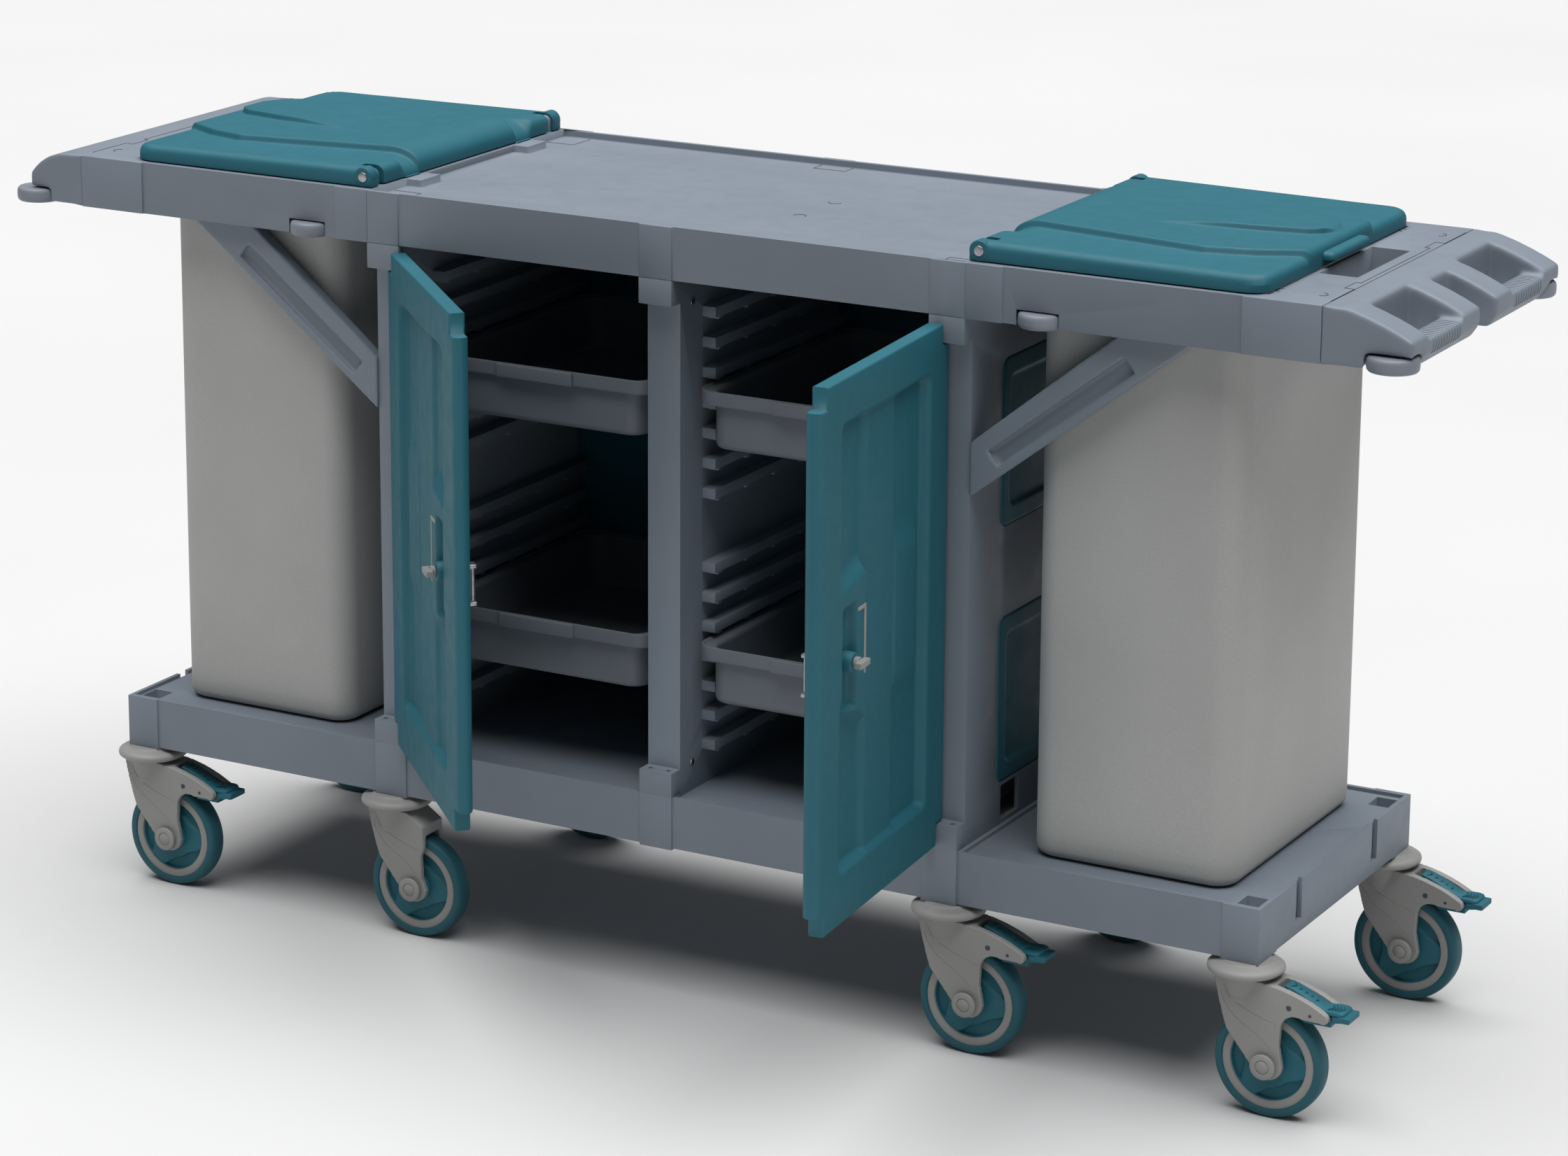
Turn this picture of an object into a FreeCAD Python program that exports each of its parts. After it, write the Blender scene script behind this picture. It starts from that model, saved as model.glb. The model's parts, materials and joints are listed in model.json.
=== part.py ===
import FreeCAD, Part
import math
import os
import re

from FreeCAD import Placement, Rotation, Vector

# Housekeeping cart: a centre cabinet with two doors and four trays, a cantilevered
# bag frame with a hinged lid at each end, and a base that runs on eight casters.
#
# Frame: millimetres, +Z up, X along the cart's length, the doors face -Y.
# The origin is on the floor, under the middle of the cart's body.
# Every wheel trails towards +X, and the doors stand open, as the cart is stored.

doc = FreeCAD.newDocument("housekeeping_cart")
sheet = doc.addObject("Spreadsheet::Sheet", "Sizes")

# name, value in mm (or degrees), what it is
DRIVING = [
    ("depth", 520, "front to back over the proud corner blocks"),
    ("cabinet_half", 457, "cart middle to the cabinet's outer face"),
    ("base_reach", 430, "cabinet face to the end of the base"),
    ("frame_reach", 485, "cabinet face to the end seam of a bag frame"),
    ("cabinet_height", 719, "base top to the counter's lower edge"),
    ("beam", 73, "height of the base, the counter and the bag frames"),
    ("proud", 3, "how far the corner blocks stand out of the beams"),
    ("block", 51, "width of the blocks and of the outer side panels"),
    ("corner_block", 105, "width of the outer blocks of a bag frame"),
    ("middle_half", 25, "half the thickness of the middle panel"),
    ("skin", 6, "wall of the moulded plastic shells"),
    ("floor_drop", 5, "depth of the base trays' floor under their lip"),
    ("counter_drop", 10, "depth of the counter under its rim"),
    ("rim", 4, "width of the counter's rim"),
    ("sleeve_low", 34, "height of the lower post sleeves"),
    ("sleeve_high", 35, "height of the upper post sleeves"),
    ("post_back", 24, "how far the posts sit behind the sleeves' faces"),
    ("door_thick", 22, "thickness of a door"),
    ("door_gap", 2, "gap between a door and the posts beside it"),
    ("door_low_gap", 5, "gap under a door"),
    ("door_high_gap", 9, "gap over a door"),
    ("strip_gap", 2, "gap between a door's edge strip and the sleeves"),
    ("pin_inset", 14, "door pins to the middle of their sleeve"),
    ("door_pin", 3, "radius of the door pins"),
    ("left_open", 45, "degrees that the left door stands open"),
    ("right_open", 95, "degrees that the right door stands open"),
    ("knob_height", 624, "floor to the door knobs"),
    ("knob_inset", 79, "free edge of a door's slab to its knob"),
    ("play", 0.06, "running clearance of pins, axles and stems, on the radius"),
    ("rail_first", 57, "counter or base to the nearest tray rail"),
    ("rail_pitch", 42, "height from one tray rail to the next"),
    ("rail_out", 20, "how far a tray rail stands out of its panel"),
    ("rail_tall", 14, "height of a tray rail"),
    ("rail_set", 84, "front of the cart to the front of the rails"),
    ("tray_depth", 81, "height of a tray"),
    ("tray_rim", 20, "height of a tray's rim"),
    ("tray_skin", 3, "wall of a tray"),
    ("tray_gap", 8, "tray rim to the panel beside it"),
    ("bag_skin", 3, "wall of a bag"),
    ("bag_inner", 79, "cabinet face to the near side of a bag"),
    ("bag_long", 290, "length of a bag along the cart"),
    ("bag_deep", 424, "front to back of a bag"),
    ("opening_start", 52, "cabinet face to a bag frame's opening"),
    ("end_plate", 80, "width of a bag frame's outer plate"),
    ("rail_wide", 24, "width of a bag frame's front and back beams"),
    ("lid_axis", 13, "cabinet face to a lid's hinge axis"),
    ("lid_lift", 14.5, "top of a bag frame to a lid's hinge axis"),
    ("lid_thick", 26, "thickness of a lid"),
    ("lid_pin", 7, "radius of the lid pins"),
    ("roller_tall", 20, "height of a bumper roller"),
    ("corner_roller", 33, "radius of the corner bumper rollers"),
    ("middle_roller", 30, "radius of the bumper rollers beside the cabinet"),
    ("corner_out", 88, "end seam to the axis of a corner roller"),
    ("middle_out", 101, "cabinet face to the axis of a middle roller"),
    ("roller_set", 18, "front face to the axis of a corner roller"),
    ("cap_reach", 92, "end seam to the end of the rounded cap"),
    ("handle_reach", 108, "end seam to the outer face of the handle bars"),
    ("wheel_d", 150, "diameter of the caster wheels"),
    ("tread", 30, "width of the caster wheels"),
    ("trail", 39, "swivel axis to wheel axle"),
    ("axle", 6, "radius of the wheel axles"),
    ("stem", 8, "radius of the swivel stems"),
    ("crown", 59, "top of a wheel to the underside of the base"),
    ("caster_set", 23, "front face to the swivel axes of the casters"),
]

# name, formula of the driving sizes, what it is
DERIVED = [
    ("front", "=depth / 2", "plane of the proud blocks"),
    ("face", "=depth / 2 - proud", "plane of the beams"),
    ("post_face", "=depth / 2 - post_back", "plane of the posts"),
    ("bay_out", "=cabinet_half - block", "outer side of a tray bay"),
    ("base_low", "=wheel_d + crown", "underside of the base"),
    ("base_top", "=wheel_d + crown + beam", "lip of the base"),
    ("floor_top", "=wheel_d + crown + beam - floor_drop", "floor of the base"),
    ("counter_low", "=wheel_d + crown + beam + cabinet_height", "under the counter"),
    ("cart_top", "=wheel_d + crown + 2 * beam + cabinet_height", "top of the rims"),
    ("base_end", "=cabinet_half + base_reach", "end face of the base"),
    ("seam", "=cabinet_half + frame_reach", "end seam of a bag frame"),
    ("lip_end", "=cabinet_half + frame_reach - end_plate", "end of the opening"),
    ("sleeve_mid", "=cabinet_half - block / 2", "middle of an outer sleeve"),
    ("hinge_x", "=cabinet_half - block / 2 - pin_inset", "door hinge axis"),
    ("hinge_y", "=depth / 2 - 0.5 - door_thick / 2", "door hinge axis"),
    ("swivel_far", "=cabinet_half + base_reach - block / 2", "end casters"),
    ("swivel_near", "=cabinet_half - block / 2 + 5", "casters under the cabinet"),
    ("swivel_y", "=depth / 2 - caster_set", "swivel axes, front and back"),
]


def write_sheet():
    """Put every size in the sheet: its note, its value and its alias."""
    for row, (name, value, note) in enumerate(DRIVING + DERIVED, start=1):
        sheet.set("A%d" % row, note)
        sheet.set("B%d" % row, str(value))
        sheet.setAlias("B%d" % row, name)
    doc.recompute()


write_sheet()
NAMES = re.compile(r"\b(%s)\b" % "|".join(row[0] for row in DRIVING + DERIVED))
nodes = {}
TWO_SIDES = (-1, 1)


def size(name):
    """One of the sheet's sizes, as a number."""
    return float(sheet.get(name))


def bind(thing, prop, text):
    """Tie a property to the sheet: the names in the text become its cells."""
    thing.setExpression(prop, NAMES.sub(r"Sizes.\1", str(text)))


def box(x, y, z):
    """A box between two formulas on each axis."""
    solid = doc.addObject("Part::Box", "Box")
    for prop, axis, (low, high) in (("Length", "x", x), ("Width", "y", y), ("Height", "z", z)):
        bind(solid, prop, "(%s) - (%s)" % (high, low))
        bind(solid, "Placement.Base." + axis, low)
    return solid


def flipped(span):
    """The same span on the other side of zero."""
    low, high = span
    return ("-(%s)" % high, "-(%s)" % low)


def sided(span, side):
    """A span on the positive side of zero, or its mirror image."""
    return span if side > 0 else flipped(span)


def rod(radius, x, y, z):
    """An upright cylinder: x and y are formulas and z is a span."""
    solid = doc.addObject("Part::Cylinder", "Rod")
    bind(solid, "Radius", radius)
    bind(solid, "Height", "(%s) - (%s)" % (z[1], z[0]))
    bind(solid, "Placement.Base.x", x)
    bind(solid, "Placement.Base.y", y)
    bind(solid, "Placement.Base.z", z[0])
    return solid


def rod_across(radius, x, y, z):
    """A cylinder along Y: x and z are formulas and y is a span."""
    solid = doc.addObject("Part::Cylinder", "Rod")
    solid.Placement = Placement(Vector(), Rotation(Vector(1, 0, 0), -90))
    bind(solid, "Radius", radius)
    bind(solid, "Height", "(%s) - (%s)" % (y[1], y[0]))
    bind(solid, "Placement.Base.x", x)
    bind(solid, "Placement.Base.y", y[0])
    bind(solid, "Placement.Base.z", z)
    return solid


def join(solids):
    """One solid out of several that touch or overlap."""
    if len(solids) == 1:
        return solids[0]
    whole = doc.addObject("Part::MultiFuse", "Join")
    whole.Shapes = solids
    return whole


def cut(base, tools):
    """A solid less the tools."""
    rest = doc.addObject("Part::Cut", "Cut")
    rest.Base = base
    rest.Tool = join(tools)
    return rest


def rounded(solid, radius, edges=(1, 3, 5, 7)):
    """A box with some of its edges rounded: the upright ones, if not told."""
    smooth = doc.addObject("Part::Fillet", "Rounded")
    smooth.Base = solid
    smooth.Edges = [(edge, radius, radius) for edge in edges]
    return smooth


def group(solids):
    """Several solids that stay separate but share a node."""
    whole = doc.addObject("Part::Compound", "Group")
    whole.Links = solids
    return whole


def mirror_x(source):
    """The mirror image across the cart's middle."""
    image = doc.addObject("Part::Mirroring", "Mirror")
    image.Source = source
    image.Normal = Vector(1, 0, 0)
    return image


def drawn(name, shape):
    """A feature whose shape is worked out with Part's own functions."""
    feature = doc.addObject("Part::Feature", name)
    feature.Shape = shape
    return feature


def node(label, thing):
    """Name a finished sub-part: the label is also its file's name."""
    thing.Label = label
    nodes[label] = thing
    return thing


def outline(points):
    """A closed face in the XZ plane. A point (x, z) is a corner, and a pair of
    points is an arc that passes through the first and ends at the second."""
    edges = []
    here = Vector(points[0][0], 0, points[0][1])
    start = here
    for item in points[1:]:
        if isinstance(item[0], tuple):
            via = Vector(item[0][0], 0, item[0][1])
            there = Vector(item[1][0], 0, item[1][1])
            edges.append(Part.Arc(here, via, there).toShape())
        else:
            there = Vector(item[0], 0, item[1])
            edges.append(Part.LineSegment(here, there).toShape())
        here = there
    edges.append(Part.LineSegment(here, start).toShape())
    return Part.Face(Part.Wire(edges))


def slab(points, y_low, y_high):
    """An XZ outline, made solid between two Y planes."""
    face = outline(points)
    face.translate(Vector(0, y_low, 0))
    return face.extrude(Vector(0, y_high - y_low, 0))


def turned(points, x, z, y):
    """A solid of revolution about the line along Y through (x, z): each point is
    a radius and a distance along Y."""
    corners = [Vector(x + radius, y + along, z) for radius, along in points]
    wire = Part.makePolygon(corners + corners[:1])
    return Part.Face(wire).revolve(Vector(x, y, z), Vector(0, 1, 0), 360)


# ---------------------------------------------------------------- base

def base_blocks(x, side=1):
    """The proud blocks that hold a pair of casters, one in front and one behind."""
    reach = "front - 2 * caster_set - 14"
    return [
        box(sided(x, side), sided((reach, "front"), y_side), ("base_low - 2", "base_top"))
        for y_side in TWO_SIDES
    ]


def stem_holes(x):
    """The blind holes for a pair of swivel stems."""
    return [
        rod("stem + play", x, "%d * swivel_y" % y_side, ("base_low - 5", "base_low + 31"))
        for y_side in TWO_SIDES
    ]


def base_shell(x):
    """A shallow tray with a lip above and a hollow underside."""
    low, high = x
    shell = box(x, ("-face", "face"), ("base_low", "base_top"))
    hollow = box(
        (low + " + skin", high + " - skin"),
        ("-face + skin", "face - skin"),
        ("base_low - 1", "floor_top - skin"),
    )
    recess = box(
        (low + " + skin", high + " - skin"),
        ("-face + skin", "face - skin"),
        ("floor_top", "base_top + 1"),
    )
    return cut(shell, [hollow, recess])


def end_base():
    """The right end of the base: a tool slot pair and two corner pockets."""
    corner = ("base_end - block", "base_end")
    blocks = base_blocks(corner)
    solid = join([base_shell(("cabinet_half", "base_end"))] + blocks)
    tools = stem_holes("swivel_far")
    for y_side in TWO_SIDES:
        pocket_y = sided(("front - 55", "front - 20"), y_side)
        slot_y = sided(("front - 140", "front - 120"), y_side)
        tools.append(box(("base_end - 40", "base_end - 10"), pocket_y, ("base_top - 24", "base_top + 1")))
        tools.append(box(("base_end - skin - 1", "base_end + 1"), slot_y, ("base_top - 55", "base_top + 1")))
    return cut(solid, tools)


right_base = node("base_tray_right", end_base())
node("base_tray_left", mirror_x(right_base))


def middle_base():
    """The base under the cabinet. Its floor carries the three upright panels."""
    blocks = []
    for side in TWO_SIDES:
        blocks += base_blocks(("bay_out", "cabinet_half"), side)
        blocks.append(
            box(
                ("-middle_half", "middle_half"),
                sided(("face - 20", "front"), side),
                ("base_low - 2", "base_top"),
            )
        )
    shell = base_shell(("-cabinet_half", "cabinet_half"))
    solid = join([shell] + blocks)
    seats = []
    for x in (("bay_out", "cabinet_half"), ("-middle_half", "middle_half"), ("-cabinet_half", "-bay_out")):
        seats.append(box(x, ("-post_face", "post_face"), ("floor_top", "base_top + 1")))
    return cut(solid, seats + stem_holes("swivel_near") + stem_holes("-swivel_near"))


node("base_tray_middle", middle_base())


# ---------------------------------------------------------------- upright panels

def rails(x, side):
    """Fourteen tray rails on one face of a panel: seven high and seven low."""
    bars = []
    for step in range(7):
        high = "counter_low - rail_first - %d * rail_pitch" % step
        low = "base_top + rail_first - 3 + %d * rail_pitch" % step
        for level in (high, low):
            z = (level + " - rail_tall / 2", level + " + rail_tall / 2")
            bars.append(box(sided(x, side), ("-(front - rail_set)", "post_face - 30"), z))
    return bars


def sleeves(x):
    """The blocks that clasp the front and back posts at the top and the bottom."""
    solids = []
    for y_side in TWO_SIDES:
        y = sided(("post_face", "front"), y_side)
        solids.append(box(x, y, ("base_top", "base_top + sleeve_low")))
        solids.append(box(x, y, ("counter_low - sleeve_high", "counter_low")))
    return solids


def pin_holes(middle):
    """Two door pin holes in each front and back sleeve of a post."""
    tools = []
    for offset in TWO_SIDES:
        for y_side in TWO_SIDES:
            x = "%s + %d * pin_inset" % (middle, offset)
            y = "%d * hinge_y" % y_side
            low = ("base_top + sleeve_low - 20", "base_top + sleeve_low + 1")
            high = ("counter_low - sleeve_high - 1", "counter_low - sleeve_high + 20")
            tools.append(rod("door_pin + play", x, y, low))
            tools.append(rod("door_pin + play", x, y, high))
    return tools


def panel_core(low, high):
    """A hollow moulded panel: open at the top, where the counter covers it."""
    slab_box = box((low, high), ("-post_face", "post_face"), ("floor_top", "counter_low"))
    hollow = box(
        (low + " + skin", high + " - skin"),
        ("-post_face + skin", "post_face - skin"),
        ("floor_top + skin", "counter_low + 1"),
    )
    return slab_box, hollow


def outer_panel():
    """The right side panel: rails inside, two windows for teal inserts outside."""
    core, hollow = panel_core("bay_out", "cabinet_half")
    solid = join([core] + sleeves(("bay_out", "cabinet_half")))
    tools = [hollow] + pin_holes("sleeve_mid")
    window_x = ("cabinet_half - skin - 1", "cabinet_half + 1")
    for z in insert_levels():
        tools.append(rounded(box(window_x, ("-145", "145"), z), 18, (9, 10, 11, 12)))
    for y_side in TWO_SIDES:
        tools.append(box(window_x, sided(("75", "130"), y_side), ("base_top + 6", "base_top + 54")))
    body = cut(solid, tools)
    return join([body] + rails(("bay_out - rail_out", "bay_out"), 1))


def insert_levels():
    """The two heights that the panel inserts span."""
    low = ("base_top + 59", "base_top + cabinet_height * 0.402")
    high = ("base_top + cabinet_height * 0.574", "counter_low - 77")
    return (low, high)


def middle_panel():
    """The panel between the bays, with tray rails on both faces."""
    core, hollow = panel_core("-middle_half", "middle_half")
    solid = join([core] + sleeves(("-middle_half", "middle_half")))
    body = cut(solid, [hollow] + pin_holes("0"))
    bars = []
    for side in TWO_SIDES:
        bars += rails(("middle_half", "middle_half + rail_out"), side)
    return join([body] + bars)


right_panel = node("side_panel_right", outer_panel())
node("side_panel_left", mirror_x(right_panel))
node("middle_panel", middle_panel())


def insert(z, side):
    """A dished plate that fills one window of an outer panel."""
    low, high = z
    x = ("cabinet_half - skin", "cabinet_half + 1")
    plate = box(sided(x, side), ("-144.5", "144.5"), (low + " + 0.5", high + " - 0.5"))
    dish_x = sided(("cabinet_half - skin + 2", "cabinet_half + 2"), side)
    dish = box(dish_x, ("-120", "120"), (low + " + 25", high + " - 25"))
    edges = (9, 10, 11, 12)
    return cut(rounded(plate, 17.5, edges), [rounded(dish, 12, edges)])


node("panel_inserts", group([insert(z, side) for side in TWO_SIDES for z in insert_levels()]))


def back_panel(side):
    """The thin panel that closes the back of one bay."""
    return box(
        sided(("middle_half", "bay_out"), side),
        ("post_face - 18", "post_face - 12"),
        ("floor_top", "counter_low"),
    )


node("back_panel_left", group([back_panel(-1)]))
node("back_panel_right", group([back_panel(1)]))


# ---------------------------------------------------------------- counter and frames

def counter():
    """The work surface: a rim all round, and a rib over every panel."""
    solid = box(("-cabinet_half", "cabinet_half"), ("-face", "face"), ("counter_low", "cart_top"))
    blocks = []
    for x in (("-cabinet_half", "-bay_out"), ("-middle_half", "middle_half"), ("bay_out", "cabinet_half")):
        for y_side in TWO_SIDES:
            y = sided(("face - 20", "front"), y_side)
            blocks.append(box(x, y, ("counter_low", "cart_top")))
    recess = box(
        ("-cabinet_half + rim", "cabinet_half - rim"),
        ("-face + rim", "face - rim"),
        ("cart_top - counter_drop", "cart_top + 1"),
    )
    tools = [recess]
    under = ("counter_low - 1", "cart_top - counter_drop - skin")
    for side in TWO_SIDES:
        tools.append(box(sided(("middle_half", "bay_out"), side), ("-face + skin", "face - skin"), under))
        rib = sided(("bay_out + 3", "cabinet_half - 3"), side)
        tools.append(box(rib, ("-face + skin + 15", "face - skin - 15"), under))
    tools.append(box(("-middle_half + 3", "middle_half - 3"), ("-face + 21", "face - 21"), under))
    body = cut(join([solid] + blocks), tools)
    tabs = []
    for side in TWO_SIDES:
        for y in (("-165", "-115"), ("115", "165")):
            x = sided(("cabinet_half - 28", "cabinet_half - rim"), side)
            tabs.append(box(x, y, ("cart_top - counter_drop", "cart_top")))
    return join([body] + tabs)


node("counter_top", counter())


def side_frame():
    """The right bag frame: two beams, an inner bar and an outer plate."""
    whole = box(("cabinet_half", "seam"), ("-face", "face"), ("counter_low", "cart_top"))
    blocks = []
    for y_side in TWO_SIDES:
        y = sided(("face - rail_wide", "front"), y_side)
        inner = ("cabinet_half", "cabinet_half + opening_start")
        outer = ("seam - corner_block", "seam")
        for x in (inner, outer):
            blocks.append(box(x, y, ("counter_low", "cart_top")))
    opening = box(
        ("cabinet_half + opening_start", "lip_end"),
        ("-face + rail_wide", "face - rail_wide"),
        ("counter_low - 1", "cart_top + 1"),
    )
    finger = box(("lip_end + 6", "lip_end + 58"), ("-90", "90"), ("counter_low - 1", "cart_top + 1"))
    tools = [opening, finger]
    under = ("counter_low - 1", "cart_top - skin")
    inner_bar = ("cabinet_half + skin", "cabinet_half + opening_start - skin")
    tools.append(box(inner_bar, ("-face + rail_wide", "face - rail_wide"), under))
    for y_side in TWO_SIDES:
        plate_y = sided(("90 + skin", "face - skin"), y_side)
        tools.append(box(("lip_end + skin", "seam - skin"), plate_y, under))
        axis = "%d * (front - roller_set + 3)" % y_side
        pocket_z = ("counter_low - 1", "counter_low + roller_tall")
        tools.append(rod("middle_roller + 2", "cabinet_half + middle_out", axis, pocket_z))
    body = cut(join([whole] + blocks), tools)
    lugs = []
    for y_side in TWO_SIDES:
        y = sided(("front - 38", "front - 30"), y_side)
        x = ("cabinet_half + lid_axis - 9", "cabinet_half + lid_axis + 9")
        lugs.append(box(x, y, ("cart_top", "cart_top + lid_lift")))
        lugs.append(rod_across("9", "cabinet_half + lid_axis", y, "cart_top + lid_lift"))
    holes = []
    for y_side in TWO_SIDES:
        y = sided(("front - 40", "front - 20"), y_side)
        holes.append(rod_across("lid_pin - 2", "cabinet_half + lid_axis", y, "cart_top + lid_lift"))
    return cut(join([body] + lugs), holes)


right_frame = node("bag_frame_right", side_frame())
node("bag_frame_left", mirror_x(right_frame))


def roller_pocket_pair(x, low, high):
    """Room for the two rollers at one end, as Part shapes."""
    radius = size("corner_roller") + 2
    y = size("front") - size("roller_set")
    pockets = []
    for y_side in TWO_SIDES:
        pockets.append(Part.makeCylinder(radius, high - low, Vector(x, y_side * y, low)))
    return pockets


def end_cap():
    """The rounded left end, hollow underneath, over two corner rollers."""
    seam = -size("seam")
    end = seam - size("cap_reach")
    low = size("counter_low")
    top = size("cart_top")
    front = size("front")
    skin = size("skin")
    bend = 66
    fall = 34
    radius = (bend * bend + fall * fall) / (2 * fall)
    half_turn = math.asin(bend / radius) / 2
    midway = (end + bend - radius * math.sin(half_turn), top - radius * (1 - math.cos(half_turn)))
    profile = [
        (seam, low),
        (seam, top),
        (end + bend, top),
        (midway, (end, top - fall)),
        (end, low),
    ]
    solid = slab(profile, -front, front)
    hollow = Part.makeBox(
        size("cap_reach") - 40,
        2 * (front - skin),
        top - low - skin + 1,
        Vector(end + 40 - skin, -front + skin, low - 1),
    )
    pockets = roller_pocket_pair(seam - size("corner_out"), low - 1, low + size("roller_tall"))
    return solid.cut(hollow).cut(Part.makeCompound(pockets))


def handle_module():
    """The right end: two hand openings with a bar beyond each, and a middle notch."""
    seam = size("seam")
    end = seam + size("handle_reach")
    low = size("counter_low")
    top = size("cart_top")
    front = size("front")
    skin = size("skin")
    nose = 12
    profile = [
        (seam, low),
        (seam, top),
        (seam + 33, top),
        ((seam + 74, top - 13), (end + nose, top - 34)),
        (end + nose, low + 18),
        (end, low),
    ]
    solid = slab(profile, -front, front)
    tools = roller_pocket_pair(seam + size("corner_out"), low - 1, low + size("roller_tall"))
    corner = Vector(seam + skin, -front + skin, low - 1)
    tools.append(Part.makeBox(30, 2 * (front - skin), top - low - skin + 1, corner))
    tools.append(Part.makeBox(100, 56, 100, Vector(seam + 52, -28, low - 10)))
    hand_y = 85
    hand = 120
    for y_side in TWO_SIDES:
        y = min(y_side * hand_y, y_side * (hand_y + hand))
        tools.append(Part.makeBox(end - 22 - seam - 43, hand, 100, Vector(seam + 43, y, low - 10)))
        tools.append(Part.makeBox(60, hand, 60, Vector(end - 22, y, low + 34)))
    return solid.cut(Part.makeCompound(tools))


node("end_cap", drawn("EndCap", end_cap()))
node("handle_module", drawn("HandleModule", handle_module()))


def brace(x_side, y_side):
    """A strut from a post to the underside of a bag frame, with a long recess."""
    post = size("cabinet_half")
    low = size("counter_low")
    outer = size("post_face") + 4
    profile = [
        (post, low - 240),
        (post, low - 168),
        (post + 207, low),
        (post + 310, low),
    ]
    solid = slab(profile, outer - 22, outer)
    slope = math.degrees(math.atan2(148, 190))
    slot = Part.makeBox(238, 10, 24, Vector(-119, 0, -12))
    slot.rotate(Vector(), Vector(0, 1, 0), -slope)
    slot.translate(Vector(post + 127, outer - 9, low - 112))
    solid = solid.cut(slot)
    if x_side < 0:
        solid = solid.mirror(Vector(), Vector(1, 0, 0))
    if y_side < 0:
        solid = solid.mirror(Vector(), Vector(0, 1, 0))
    return solid


brace_shapes = [brace(x_side, y_side) for x_side in TWO_SIDES for y_side in TWO_SIDES]
node("frame_braces", drawn("Braces", Part.makeCompound(brace_shapes)))


# ---------------------------------------------------------------- bags

def bag():
    """The right bag: rounded upright edges, open at the top."""
    low = "floor_top + 1"
    high = "cart_top - 8"
    near = "cabinet_half + bag_inner"
    far = near + " + bag_long"
    outer = rounded(box((near, far), ("-bag_deep / 2", "bag_deep / 2"), (low, high)), 32)
    inner_x = (near + " + bag_skin", far + " - bag_skin")
    inner_y = ("-bag_deep / 2 + bag_skin", "bag_deep / 2 - bag_skin")
    inner = rounded(box(inner_x, inner_y, (low + " + bag_skin", high + " + 1")), 29)
    return cut(outer, [inner])


right_bag = node("bag_right", bag())
node("bag_left", mirror_x(right_bag))


# ---------------------------------------------------------------- lids

def lid():
    """The right lid: a thick plate, two knuckles and a pull at the outer end."""
    axis_x = "cabinet_half + lid_axis"
    axis_z = "cart_top + lid_lift"
    z = ("cart_top + 2", "cart_top + 2 + lid_thick")
    plate = rounded(box((axis_x + " + 12", "lip_end"), ("-front + 12", "front - 12"), z), 20)
    under = box(
        (axis_x + " + 12 + skin + 14", "lip_end - skin"),
        ("-front + 12 + skin", "front - 12 - skin"),
        ("cart_top + 1", "cart_top + 2 + lid_thick - skin"),
    )
    parts = [cut(plate, [under])]
    for y_side in TWO_SIDES:
        y = sided(("front - 29", "front - 12"), y_side)
        parts.append(rod_across("lid_lift - 0.5", axis_x, y, axis_z))
        parts.append(box((axis_x, axis_x + " + 30"), y, ("cart_top + 3", "cart_top + lid_thick")))
    bridge = box(("lip_end - 2", "lip_end + 14"), ("-64", "64"), ("cart_top + 1", "cart_top + 22"))
    room = box(("lip_end - 1", "lip_end + 8"), ("-56", "56"), ("cart_top", "cart_top + 15"))
    parts.append(cut(bridge, [room]))
    holes = []
    for y_side in TWO_SIDES:
        slot_y = sided(("front - 40", "front - 29"), y_side)
        holes.append(box((axis_x + " - 15", axis_x + " + 14"), slot_y, ("cart_top", "cart_top + 40")))
        y = sided(("front - 30", "front - 11"), y_side)
        holes.append(rod_across("lid_pin - 2 + play", axis_x, y, axis_z))
    return cut(join(parts), holes)


right_lid = node("lid_right", lid())
node("lid_left", mirror_x(right_lid))


# ---------------------------------------------------------------- doors

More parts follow.
